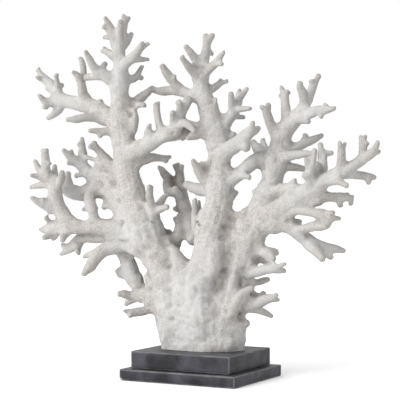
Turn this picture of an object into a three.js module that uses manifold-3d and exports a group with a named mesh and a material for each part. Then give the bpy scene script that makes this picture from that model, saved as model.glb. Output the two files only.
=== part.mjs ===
// Branching coral on a two-tier stand. Millimetres, +Z up. The origin is the middle of the stand's underside,
// the stand's long side lies along X and its front faces -Y.
import * as THREE from 'three';
import { mergeVertices } from 'three/addons/utils/BufferGeometryUtils.js';
import Module from 'manifold-3d';

const wasm = await Module();
wasm.setup();

// The stand's two tiers.
const lowerTier = { width: 127, depth: 107, height: 11.4, corner: 4, edge: 1.2 };
const upperTier = { width: 109, depth: 92.5, height: 17.4, corner: 3, edge: 1 };

// Pieces that touch keep this much air between them.
const gap = 0.3;

// The branches are laid out on an upright board through the origin, turned from the stand's front by turn.
// The fan of branches is turned back from the board by fan, so that it runs nearly along the stand.
// A point that stands off the board moves along the line to a sight point in front of it, distance away and
// height up, so the layout keeps its outline from there. shift moves the layout along the board.
const board = { turn: 28, fan: 20, distance: 1300, height: 178, shift: -1.35 };

// How round a branch is: the number of sides of its section, by its largest radius.
const sidesFor = (radius) => (radius > 10 ? 6 : radius > 5.4 ? 5 : 4);

// A polygon's corners stand out by this much, so that its flats are near the true radius.
const cornerOut = 1.06;

// A tip's point stands out past its last section by this share of the radius there.
const tipOut = 0.6;

const colours = { coral: 0xd3d0cb, stand: 0x2e2e31 };

// A branch is a list of sections, root first: [across, up, deep, radius]. across and up are on the board, and
// deep is how far the section stands out of the fan, towards the front.

// Trunk: three grown-together columns, a rear column and the webs between them.
const coralTrunk = [
  [[-22.5, 26, -8, 17], [-24.5, 60, -6, 20], [-32, 105, -4, 15.5], [-54, 140, 0, 19]],
  [[2, 24, 4, 20], [2, 60, 8, 20], [-2, 82, 10, 17], [2, 100, 14, 16], [9, 130, 12, 15], [9, 150, 10, 16]],
  [[-14, 78, -2, 12], [-14, 114, 0, 8]],
  [[40, 146, 4, 9], [38, 162.5, 4, 6]],
  [[25.5, 26, -6, 17], [26.5, 60, -8, 17], [36, 88, -6, 17], [42, 120, -2, 15], [52, 150, 2, 18]],
  [[2, 28, -24, 20], [4, 65, -22, 19], [8, 95, -16, 18], [8, 120, -8, 12]],
  [[28, 125, 4, 9], [27, 155.5, 6, 8]],
  [[-30, 120, -4, 12], [-38, 134, -2, 11]],
  [[30, 64, 12, 7], [38, 79, 14, 5], [52, 90, 14, 3]],
];

// Lowest left limb, straight with a forked tip.
const lowLeftLowerLimb = [
  [[-30, 70, 0, 8], [-53, 67.5, 6, 4.5], [-69, 64.5, 18, 4.2], [-70, 61.8, 20, 2.3]],
];

// Low left limb, which forks into a palm and a strand that climbs beside the trunk.
const lowLeftForkLimb = [
  [[-38, 82, -4, 11], [-62, 83, -2, 7.5], [-70, 82.5, 2, 4.5], [-81.5, 84.3, 12, 2]],
  [[-63, 81, -2, 5], [-74, 73.5, -10, 2]],
  [[-50, 81, -6, 8], [-59, 89, -10, 7], [-65, 98, -12, 9.5], [-71.5, 115, -12, 8], [-80, 130, -8, 5]],
];

// Lower left limb, drooping to a blunt end.
const lowerLeftLimb = [
  [[-56, 132, -2, 14], [-75, 134, -2, 9], [-99, 126, 8, 7], [-109.5, 112, 16, 6.3], [-116.5, 103, 22, 2]],
  [[-102, 126, 8, 4], [-115.5, 121.5, 0, 1.8]],
];

// Mast: the tall left limb and the twigs on its stem.
const mast = [
  [[-54, 146, 0, 19], [-72, 199.5, -2, 12.6], [-80.5, 289.5, 6, 9.8], [-81, 329.5, 9, 5.7]],
  [[-70, 238.5, 2, 4], [-65.5, 257.5, 6, 4.5], [-67, 267.5, 6, 3.5]],
  [[-47, 160.5, 8, 5], [-50, 190, 22, 2.8]],
  [[-47, 160.5, 4, 6], [-43.5, 169, 3, 6], [-33, 183, -6, 1.8]],
  [[-43.5, 167, 6, 5], [-32.5, 171, 17, 2.2]],
  [[-65, 216.5, -2, 9], [-47, 220.5, -9, 4.4], [-30, 221.5, -20, 1.6]],
  [[-74, 266.5, 4, 6], [-47.5, 291, -18, 1.9]],
  [[-76, 297.5, 4, 5.5], [-58, 300, -13, 1.8]],
  [[-74, 203.5, -6, 7], [-71, 226.5, -46, 1.8]],
  [[-78, 250.5, -4, 6], [-77, 265.5, -32, 2]],
  [[-80.5, 289.5, 0, 5], [-81, 303.5, -22, 1.8]],
  [[-80, 245.5, 4, 8], [-110.5, 247.5, 22, 1.8]],
  [[-81, 316.5, 8, 4.5], [-94.5, 327, -4, 2.9], [-98, 326.5, -8, 1.4]],
  [[-78, 311, 8, 5.5], [-64, 324, 20, 4.2], [-57.5, 335, 27, 1.9]],
  [[-67, 318.5, 17, 4], [-51.5, 318.5, 7, 1.4]],
];

// Far left limb: along, then up, with its lower palm and fingers.
const farLeftLimb = [
  [[-58, 146, 0, 17], [-75, 149, 0, 11], [-120, 151, 6, 7], [-131, 156.5, 7, 8], [-144, 177.5, 8, 7.5],
   [-146, 198.5, 8, 6.5]],
  [[-72, 143, -2, 9], [-116, 141, -10, 6], [-130, 131.5, -18, 3.8], [-136.5, 132, -22, 2.4]],
  [[-126, 131, -16, 4.2], [-138.5, 124, -28, 1.8]],
  [[-122, 151.5, 6, 7.5], [-138, 152, 4, 7.6], [-159.5, 148.5, -6, 1.8]],
  [[-146, 148, 2, 4.5], [-156.5, 140, 14, 2]],
  [[-132, 148, 6, 5], [-137.5, 137.5, 16, 2.6]],
  [[-146, 152.5, 2, 4], [-154.5, 160.5, 12, 2]],
  [[-141.5, 169.5, 8, 8], [-168.5, 180.5, 26, 1.8]],
  [[-145, 193.5, 8, 6], [-154, 208.5, 14, 4.6], [-155, 226, 20, 3.6]],
  [[-152, 202.5, 11, 4], [-165, 217, -2, 1.8]],
  [[-150, 197.5, 10, 5], [-169, 202.5, 22, 1.6]],
  [[-146, 193.5, 8, 6], [-169, 191, -3, 1.4]],
  [[-144, 195.5, 6, 4.5], [-145, 212.5, -4, 1.5]],
  [[-142, 192.5, 8, 4.5], [-138, 205.5, 18, 2.8]],
  [[-70, 160.5, -4, 8], [-86, 154.5, -2, 6], [-98, 154.5, 2, 5]],
];

// Left middle limb: a webbed palm and the twigs on it.
const leftMidLimb = [
  [[-62, 158.5, -4, 15], [-74, 172.5, -8, 15], [-90, 199.5, -12, 9.5], [-108, 203.5, -16, 7]],
  [[-76, 191.5, -8, 11], [-82, 204.5, -11, 9], [-90, 214.5, -10, 5.8], [-106.5, 235.5, 4, 2]],
  [[-104, 201.5, -16, 7], [-113, 205.5, -20, 6], [-118, 213.5, -23, 4.6], [-118, 239.5, -36, 1.7]],
  [[-114, 208.5, -20, 6], [-136.5, 228, -8, 2]],
  [[-107, 201.5, -16, 3.5], [-124, 202.5, -26, 1.8]],
  [[-78, 183.5, -10, 9], [-104, 188.5, -17, 9], [-118, 184.5, -22, 8], [-130, 187.5, -26, 7.5],
   [-132, 204.5, -32, 2.8]],
  [[-107, 189.5, -10, 5], [-110, 179.5, -2, 6], [-105, 155.5, 4, 5.5]],
  [[-88, 182.5, -12, 5], [-95.5, 170, -4, 2.6]],
  [[-93, 193.5, -16, 7], [-95, 198.5, -34, 4.8], [-92, 204.5, -50, 2]],
  [[-95, 197.5, -32, 3.6], [-101, 196.5, -46, 2]],
];

// Crown on top of the mast.
const mastCrown = [
  [[-81, 325.5, 8, 6], [-95, 360.5, 20, 1.7]],
  [[-84, 338.5, 11, 3.5], [-95.5, 341, 1, 1.8]],
  [[-80, 331.5, 9, 5], [-76.5, 362, -2, 1.7]],
  [[-80, 335.5, 10, 4], [-79, 356.5, 19, 2.6]],
  [[-80, 327.5, 8, 4], [-68.5, 345, -6, 1.4]],
];

// Forked twig on the left of the mast, near the top.
const mastLeftTwigs = [
  [[-80, 291.5, 7, 7], [-101, 305, 15, 5.8], [-114.5, 326.5, 28, 1.8]],
  [[-97, 304.5, 13, 4.5], [-95, 318.5, 5, 2.3]],
  [[-97, 301.5, 13, 4.5], [-114, 300.5, 10, 3.1]],
];

// Upper left limb, which leaves the mast above the middle.
const upperLeftLimb = [
  [[-80, 250.5, 2, 9], [-90, 260.5, -4, 8.5], [-112, 272, -12, 8], [-143, 281.5, -22, 6.8]],
  [[-111, 274.5, -12, 6], [-120, 299, -1, 3.8], [-127, 306, 4, 1.6]],
  [[-118, 295.5, -4, 3.5], [-119, 319.5, -17, 1.8]],
  [[-142, 281.5, -22, 6], [-162, 308.5, -36, 1.7]],
  [[-141, 284.5, -22, 4], [-144, 303.5, -12, 1.6]],
  [[-142, 278.5, -21, 6], [-150, 276, -17, 5], [-160.5, 283, -7, 1.5]],
  [[-137, 275.5, -20, 5], [-152, 260, -34, 1.9]],
  [[-96, 258.5, -4, 7], [-106, 260.5, 3, 4.5], [-133, 258.5, 19, 1.8]],
];

// Limb that leaves the mast to the right and turns up.
const mastRightLimb = [
  [[-72, 224.5, 2, 11], [-41, 240, 14, 7], [-25, 249, 15, 6.8], [-11.5, 278.5, 6, 4.6]],
  [[-53, 236, 12, 5.5], [-50.5, 252.5, 20, 2]],
  [[-37, 244.5, 14, 4.5], [-43.5, 272, 0, 3]],
  [[-28, 250.5, 16, 3.6], [-27.5, 265.5, 25, 2.2]],
  [[-21, 261.5, 12, 3.6], [-21, 276.5, 21, 2.6]],
  [[-24, 251, 14, 4.5], [-16, 255, 19, 3.8], [-5.5, 247, 27, 2.2]],
  [[-31, 244, 8, 8], [-20, 245.5, 2, 7.2], [-7, 244.5, -10, 3.6]],
];

// Centre limb and the small twigs on it.
const centreLimb = [
  [[10, 146, 10, 17], [17.5, 170, 7, 14], [19.5, 213.5, 2, 11], [16.5, 239.5, -2, 12],
   [0.5, 293.5, -8, 7.6], [0.5, 302.5, -8, 8]],
  [[12, 245.5, 0, 8], [2, 245.5, 6, 6.6], [-12.5, 239.5, 18, 1.9]],
  [[10, 193, 8, 7], [-7, 217, 24, 2.3]],
  [[12, 187.5, 2, 8], [-13.5, 193.5, -18, 3.8]],
  [[-2, 148, 6, 7], [-5.5, 177.5, -8, 1.8]],
  [[4, 148, 0, 6], [1.5, 156.5, -6, 2.6], [-1.5, 176.5, -19, 1.5]],
  [[18, 193.5, -6, 7], [20, 220.5, -46, 1.8]],
  [[18, 203.5, -24, 3.6], [13, 212.5, -38, 2]],
  [[16, 236.5, -10, 7], [14, 255.5, -38, 2]],
  [[4, 283.5, -10, 6], [21.5, 298, -27, 1.5]],
];

// Crown on top of the centre limb.
const centreCrown = [
  [[0.5, 299.5, -8, 8.6], [3, 316.5, -6, 6], [5, 342.5, -17, 2]],
  [[0.5, 311.5, -6, 5.5], [-14.5, 331.5, 10, 2.2]],
  [[-1, 301.5, -5, 6.5], [-18.5, 320.5, 20, 2]],
  [[3, 303.5, -8, 5.5], [23.5, 325.5, 12, 1.7]],
];

// Forked limb to the left of the centre crown.
const centreLeftLimb = [
  [[0, 279.5, -8, 7], [-18, 286.5, -14, 5], [-44.5, 287.5, -22, 3]],
  [[-17, 286.5, -14, 4.8], [-37.5, 312, 3, 2.8]],
];

// Right limb, with two forks near its top and three twigs on its right side.
const rightLimb = [
  [[46, 138, 0, 18], [72.5, 197.5, -7, 10.8], [83.5, 245.5, -13, 9.5], [102, 266.5, -13, 7.6]],
  [[71, 207, -10, 10], [53, 235.5, -24, 3.2]],
  [[68, 223, -20, 3.4], [62.5, 237.5, -32, 2.2]],
  [[77, 239.5, -11, 6.5], [65, 268.5, 4, 3.4], [61, 271, 7, 1.8]],
  [[85, 250.5, -14, 7], [84.5, 282.5, -30, 3.8], [81.5, 290, -34, 2]],
  [[73, 198.5, -14, 7], [77, 218.5, -46, 2.2]],
  [[74, 207.5, -31, 3.6], [70, 215.5, -46, 2]],
  [[79, 219.5, -10, 9], [88, 225.5, -13, 6.4], [122, 242.5, -33, 1.9]],
  [[82, 220.5, -8, 6.5], [112.5, 224.5, 9, 2.3]],
  [[78, 210.5, -8, 7], [105, 209, -24, 2.6]],
];

// Upper of the three limbs to the right of the centre limb.
const centreRightUpperLimb = [
  [[16, 246.5, -4, 10], [30.5, 262, -11, 5.6], [37.5, 276.5, -17, 4.7], [39.5, 288, -22, 1.6]],
  [[38, 277.5, -17, 3.6], [47, 289.5, -8, 1.8]],
  [[32, 264.5, -12, 4], [31, 284.5, -1, 2.6]],
  [[35, 268.5, -13, 3.6], [50, 269.5, -2, 1.8]],
];

// Middle one, which comes forward.
const centreRightMiddleLimb = [
  [[19, 221.5, 3, 11], [50, 246.5, 21, 5.6], [53, 255.5, 25, 2.2]],
];

// Lower one, which grows into the right limb.
const centreRightLowerLimb = [
  [[21, 193.5, 3, 10], [42, 206.5, 1, 7], [60, 220.5, -6, 7]],
];

// Limb behind the gap between mast and centre.
const rearLimb = [
  [[-6, 140, -14, 8], [-12, 156.5, -20, 8], [-17.5, 177.5, -35, 6.8], [-22, 214, -45, 1.9]],
  [[-18, 190.5, -38, 5], [-34, 202.5, -48, 4.3], [-40.5, 210.5, -54, 1.8]],
  [[-17, 175.5, -33, 5], [-25, 189.5, -21, 3]],
  [[-13.5, 163, -26, 4.5], [-25.5, 169.5, -38, 2]],
  [[-30, 120, -10, 8], [-21.5, 148, -14, 4.6], [-19, 160.5, -20, 5]],
];

// Crown on top of the right limb.
const rightCrown = [
  [[99, 263.5, -13, 7.4], [104, 274.5, -8, 5.2], [99.5, 295.5, 6, 2.3]],
  [[103, 269.5, -11, 6], [119.5, 302.5, -26, 1.9]],
  [[98, 262.5, -12, 8], [134, 269.5, 14, 1.9]],
  [[94, 259.5, -12, 7], [108.5, 256.5, 4, 2.2]],
];

// Far right limb, reaching out and up.
const farRightLimb = [
  [[50, 150, 6, 15], [72.5, 165.5, 10, 9.5], [95, 179.5, 13, 10.8], [152, 211.5, 16, 5.6],
   [165, 221, 14, 5.2]],
  [[66, 186.5, -2, 9], [78, 189, 2, 6], [101, 187.5, 10, 6]],
  [[86, 189.5, 6, 3.5], [95, 197.5, 16, 2]],
  [[118, 195.5, 13, 5.5], [122, 204.5, 7, 5.2], [120.5, 234, -8, 2.2]],
  [[103, 186, 14, 7], [109, 194, 20, 4.6], [115, 228, 31, 2]],
  [[163, 219.5, 14, 4.6], [160.5, 241, -3, 1.8]],
  [[164, 219.5, 14, 5], [171, 224.5, 20, 4.5], [178, 236, 28, 1.6]],
  [[140, 205.5, 16, 5.2], [141.5, 226.5, 28, 3.8], [139.5, 235.5, 33, 1.8]],
  [[136, 203.5, 15, 5.5], [175, 200.5, -6, 1.9]],
  [[126, 196.5, 15, 5.5], [138, 197, 21, 3.8], [147, 192, 27, 1.9]],
  [[112, 183.5, 12, 8.5], [152, 180.5, -9, 1.9]],
  [[92, 168.5, 10, 7], [119, 177.5, 12, 5]],
  [[99, 181.5, 6, 7], [104, 189.5, -26, 2]],
];

// Far right lower limb, forked and drooping.
const farRightLowLimb = [
  [[60, 154.5, 6, 12], [88, 153, 4, 9], [117, 133.5, -3, 5.4], [144, 127, -15, 2.5]],
  [[108, 134, 0, 6.5], [122.6, 118.3, 14, 2.4]],
  [[121, 129, -5, 4.5], [131.3, 120.6, -16, 2.6]],
  [[92, 149, 4, 6], [127.5, 153.5, 22, 4]],
  [[84, 160.5, 10, 7], [93, 167.5, 14, 5.6], [124, 163, 25, 5.2], [128, 155.5, 24, 4.2]],
];

// Four short limbs low on the right, from the top one down.
const lowRightUpperLimb = [
  [[44, 132, 0, 10], [56, 130, 3, 8], [73.5, 119.5, 15, 2.8]],
  [[56, 124, -3, 6], [68, 115.5, -18, 3]],
];

const lowRightMiddleLimb = [
  [[40, 105, 0, 8], [75, 109.5, 15, 3.9], [84.8, 114.2, 20, 1.4]],
];

const lowRightSmallLimb = [
  [[42, 94, -10, 8], [54, 95, -16, 4.4], [68.2, 98.6, -27, 2.2]],
];

const lowRightLowerLimb = [
  [[38, 73, -2, 10], [59, 76, 3, 6.5], [76.8, 83.5, 15, 1.6]],
  [[54, 78, -3, 6], [64.5, 84.6, -17, 1.9]],
  [[50, 71, -1, 6.5], [72, 61.3, -15, 1.6]],
];

// Back limb behind the left column.
const backLeftLimb = [
  [[-40, 118, -14, 12], [-46, 136, -36, 8.5], [-54, 153.5, -52, 6.5], [-63, 186.5, -70, 2.4]],
  [[-53, 151.5, -50, 5], [-68, 166.5, -80, 2]],
  [[-50, 144, -44, 5], [-46, 160.5, -76, 2]],
  [[-60, 168.5, -60, 4], [-69, 178.5, -72, 3], [-73, 190.5, -78, 1.8]],
];

// Back limb behind the right column.
const backRightLimb = [
  [[36, 106, -16, 13], [40, 124, -40, 9], [46, 142, -58, 7], [57, 173.5, -80, 2.4]],
  [[44, 136, -52, 5], [31, 155.5, -84, 2]],
  [[45, 139, -55, 5], [56, 141, -72, 4], [62, 147, -86, 2]],
  [[51, 155.5, -68, 4], [66, 168.5, -92, 1.6]],
];

// Back limb low behind the trunk.
const backLowLimb = [
  [[5, 76, -28, 13], [5, 91, -52, 8.5], [10, 119, -80, 2.6]],
  [[4, 88, -48, 6], [-15, 106, -80, 2]],
  [[6, 93, -52, 6], [20, 100, -68, 4.4], [27, 110, -80, 2]],
];
// The point in the stand's frame for a place in the layout, and the scale of sizes there.
function place([across, up, deep]) {
  const turn = THREE.MathUtils.degToRad(board.turn);
  const out = across * Math.tan(THREE.MathUtils.degToRad(board.fan)) + deep;
  const scale = 1 - out / board.distance;
  const along = across * scale + board.shift;
  const point = new THREE.Vector3(
    along * Math.cos(turn) + out * Math.sin(turn),
    along * Math.sin(turn) - out * Math.cos(turn),
    board.height + (up - board.height) * scale,
  );
  return { point, scale };
}

// A closed geometry as a solid.
function solidOf(geometry) {
  geometry.deleteAttribute('normal');
  geometry.deleteAttribute('uv');
  const merged = mergeVertices(geometry, 1e-4);
  const vertProperties = new Float32Array(merged.attributes.position.array);
  const triVerts = new Uint32Array(merged.index.array);
  return new wasm.Manifold(new wasm.Mesh({ numProp: 3, vertProperties, triVerts }));
}

// A solid back as a geometry.
function geometryOf(solid) {
  const mesh = solid.getMesh();
  const geometry = new THREE.BufferGeometry();
  geometry.setAttribute('position', new THREE.BufferAttribute(new Float32Array(mesh.vertProperties), 3));
  geometry.setIndex(new THREE.BufferAttribute(new Uint32Array(mesh.triVerts), 1));
  geometry.computeVertexNormals();
  return geometry;
}

// One branch: a lathe turned with one ring for each section, then bent so that its rings sit on the sections.
// grow makes it fatter all over.
function branchSolid(sections, grow = 0) {
  const places = sections.map(place);
  const radii = sections.map((section, i) => (section[3] * places[i].scale + grow) * cornerOut);
  const path = new THREE.CatmullRomCurve3(places.map(({ point }) => point));
  const last = sections.length - 1;
  const profile = [new THREE.Vector2(0, -1)];
  for (let i = 0; i <= last; i += 1) profile.push(new THREE.Vector2(1, i));
  profile.push(new THREE.Vector2(0, last + 1));
  const sides = sidesFor(Math.max(...sections.map((section) => section[3])));
  const lathe = new THREE.LatheGeometry(profile, sides);
  const rings = ringFrames(path, places, last);
  const position = lathe.attributes.position;
  const vertex = new THREE.Vector3();
  for (let v = 0; v < position.count; v += 1) {
    vertex.fromBufferAttribute(position, v);
    const level = Math.round(vertex.y);
    const ring = rings[THREE.MathUtils.clamp(level, 0, last)];
    const radius = radii[THREE.MathUtils.clamp(level, 0, last)];
    const beyond = level < 0 ? -1 : level > last ? 1 : 0;
    const moved = ring.point.clone()
      .addScaledVector(ring.side, vertex.x * radius)
      .addScaledVector(ring.front, vertex.z * radius)
      .addScaledVector(ring.ahead, beyond * tipOut * radius);
    position.setXYZ(v, moved.x, moved.y, moved.z);
  }
  return solidOf(lathe);
}

// A frame at each section that turns as little as it can from one to the next.
function ringFrames(path, places, last) {
  const rings = [];
  let side = new THREE.Vector3(0.3, -0.2, 0.93);
  for (let i = 0; i <= last; i += 1) {
    const ahead = path.getTangent(i / last);
    side = side.clone().addScaledVector(ahead, -side.dot(ahead)).normalize();
    const front = side.clone().cross(ahead);
    rings.push({ point: places[i].point, ahead, side, front });
  }
  return rings;
}

// All the branches of a limb in one solid.
function limbSolid(branches, grow = 0) {
  return branches.map((sections) => branchSolid(sections, grow)).reduce((all, one) => all.add(one));
}

// A box solid between two heights, wider than the coral.
function slab(bottom, top) {
  const box = new THREE.BoxGeometry(600, 600, top - bottom);
  box.translate(0, 0, (bottom + top) / 2);
  return solidOf(box);
}

// A tier of the stand: a plate with rounded corners and softened edges, its underside at base.
function tierGeometry({ width, depth, height, corner, edge }, base) {
  const x = width / 2 - edge;
  const y = depth / 2 - edge;
  const outline = new THREE.Shape();
  outline.moveTo(-x + corner, -y);
  outline.lineTo(x - corner, -y);
  outline.absarc(x - corner, -y + corner, corner, -Math.PI / 2, 0);
  outline.absarc(x - corner, y - corner, corner, 0, Math.PI / 2);
  outline.absarc(-x + corner, y - corner, corner, Math.PI / 2, Math.PI);
  outline.absarc(-x + corner, -y + corner, corner, Math.PI, Math.PI * 1.5);
  const tier = new THREE.ExtrudeGeometry(outline, {
    depth: height - 2 * edge,
    bevelEnabled: true,
    bevelThickness: edge,
    bevelSize: edge,
    bevelSegments: 1,
    curveSegments: 2,
  });
  tier.translate(0, 0, base + edge);
  return geometryOf(solidOf(tier));
}

const coral = new THREE.Group();

function addPiece(name, geometry, color, roughness) {
  const material = new THREE.MeshStandardMaterial({ color, roughness, metalness: 0 });
  const mesh = new THREE.Mesh(geometry, material);
  mesh.name = name;
  coral.add(mesh);
}

// The stand.
const upperBase = lowerTier.height + gap;
const footHeight = upperBase + upperTier.height + gap;
addPiece('stand_lower_tier', tierGeometry(lowerTier, 0), colours.stand, 0.5);
addPiece('stand_upper_tier', tierGeometry(upperTier, upperBase), colours.stand, 0.5);

// The coral is parted at its main forks. Each limb lists the limbs that it grows from or grows into, and is
// cut back from them. A cut limb keeps its largest piece, without crumbs from the cut.
const limbs = [
  ['coral_trunk', coralTrunk, []],
  ['low_left_lower_limb', lowLeftLowerLimb, ['coral_trunk']],
  ['low_left_fork_limb', lowLeftForkLimb, ['coral_trunk', 'low_left_lower_limb']],
  ['lower_left_limb', lowerLeftLimb, ['coral_trunk', 'low_left_fork_limb']],
  ['mast', mast, ['coral_trunk', 'lower_left_limb']],
  ['far_left_limb', farLeftLimb, ['coral_trunk', 'lower_left_limb', 'mast']],
  ['left_mid_limb', leftMidLimb, ['coral_trunk', 'far_left_limb', 'mast']],
  ['mast_crown', mastCrown, ['mast']],
  ['mast_left_twigs', mastLeftTwigs, ['mast']],
  ['upper_left_limb', upperLeftLimb, ['mast']],
  ['mast_right_limb', mastRightLimb, ['mast']],
  ['centre_limb', centreLimb, ['coral_trunk']],
  ['centre_crown', centreCrown, ['centre_limb']],
  ['centre_left_limb', centreLeftLimb, ['centre_limb', 'centre_crown']],
  ['right_limb', rightLimb, ['coral_trunk']],
  ['centre_right_upper_limb', centreRightUpperLimb, ['centre_limb']],
  ['centre_right_middle_limb', centreRightMiddleLimb, ['centre_limb', 'right_limb']],
  ['centre_right_lower_limb', centreRightLowerLimb, ['centre_limb', 'right_limb']],
  ['rear_limb', rearLimb, ['coral_trunk', 'centre_limb', 'mast']],
  ['right_crown', rightCrown, ['right_limb']],
  ['far_right_limb', farRightLimb, ['coral_trunk', 'right_limb']],
  ['far_right_low_limb', farRightLowLimb, ['coral_trunk', 'right_limb', 'far_right_limb']],
  ['low_right_upper_limb', lowRightUpperLimb, ['coral_trunk', 'right_limb']],
  ['low_right_middle_limb', lowRightMiddleLimb, ['coral_trunk']],
  ['low_right_small_limb', lowRightSmallLimb, ['coral_trunk', 'low_right_middle_limb']],
  ['low_right_lower_limb', lowRightLowerLimb, ['coral_trunk']],
  ['back_left_limb', backLeftLimb, ['coral_trunk', 'lower_left_limb', 'mast', 'rear_limb']],
  ['back_right_limb', backRightLimb, ['coral_trunk', 'right_limb']],
  ['back_low_limb', backLowLimb, ['coral_trunk']],
];
const grown = {};
const beneath = slab(-50, footHeight);
for (const [name, branches, neighbours] of limbs) {
  let solid = limbSolid(branches);
  for (const neighbour of neighbours) solid = solid.subtract(grown[neighbour]);
  if (name === 'coral_trunk') solid = solid.subtract(beneath);
  const pieces = solid.decompose().sort((one, other) => other.volume() - one.volume());
  grown[name] = limbSolid(branches, gap);
  addPiece(name, geometryOf(pieces[0]), colours.coral, 0.85);
}

export default coral;
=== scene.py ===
import bpy
import bmesh
import random
from math import sin, cos, tan, pi, radians
import numpy as np
from mathutils import Vector, Matrix, noise
from mathutils.bvhtree import BVHTree


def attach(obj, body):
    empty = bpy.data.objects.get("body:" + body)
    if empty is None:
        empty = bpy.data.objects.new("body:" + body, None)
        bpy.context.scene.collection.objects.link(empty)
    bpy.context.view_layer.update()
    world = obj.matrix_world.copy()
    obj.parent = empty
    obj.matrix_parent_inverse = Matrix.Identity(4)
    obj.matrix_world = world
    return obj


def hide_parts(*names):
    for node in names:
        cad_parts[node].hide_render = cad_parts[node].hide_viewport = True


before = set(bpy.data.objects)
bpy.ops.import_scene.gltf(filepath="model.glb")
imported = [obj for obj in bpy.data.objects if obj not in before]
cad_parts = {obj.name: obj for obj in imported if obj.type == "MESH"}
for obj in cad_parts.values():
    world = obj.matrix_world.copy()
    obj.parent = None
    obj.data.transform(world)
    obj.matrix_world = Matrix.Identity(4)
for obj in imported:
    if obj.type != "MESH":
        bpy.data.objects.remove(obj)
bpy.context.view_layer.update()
print("frame loaded:", len(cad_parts), "nodes")

# Lengths in the tables are millimetres, lengths in the scene are metres.
mm = 0.001

# The branches are laid out on an upright board through the origin, turned from the stand's front. The fan of
# branches runs back from the board by the fan angle. A section that stands off the board moves along the line
# to a sight point in front of it, so that the layout keeps its outline from there.
board = {"turn": 28, "fan": 20, "distance": 1300, "height": 178, "shift": -1.35}


def placeSection(across, up, deep, radius):
    out = across * tan(radians(board["fan"])) + deep
    scale = 1 - out / board["distance"]
    along = across * scale + board["shift"]
    turn = radians(board["turn"])
    x = along * cos(turn) + out * sin(turn)
    y = along * sin(turn) - out * cos(turn)
    z = board["height"] + (up - board["height"]) * scale
    return Vector((x, y, z)) * mm, radius * scale * mm


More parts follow.
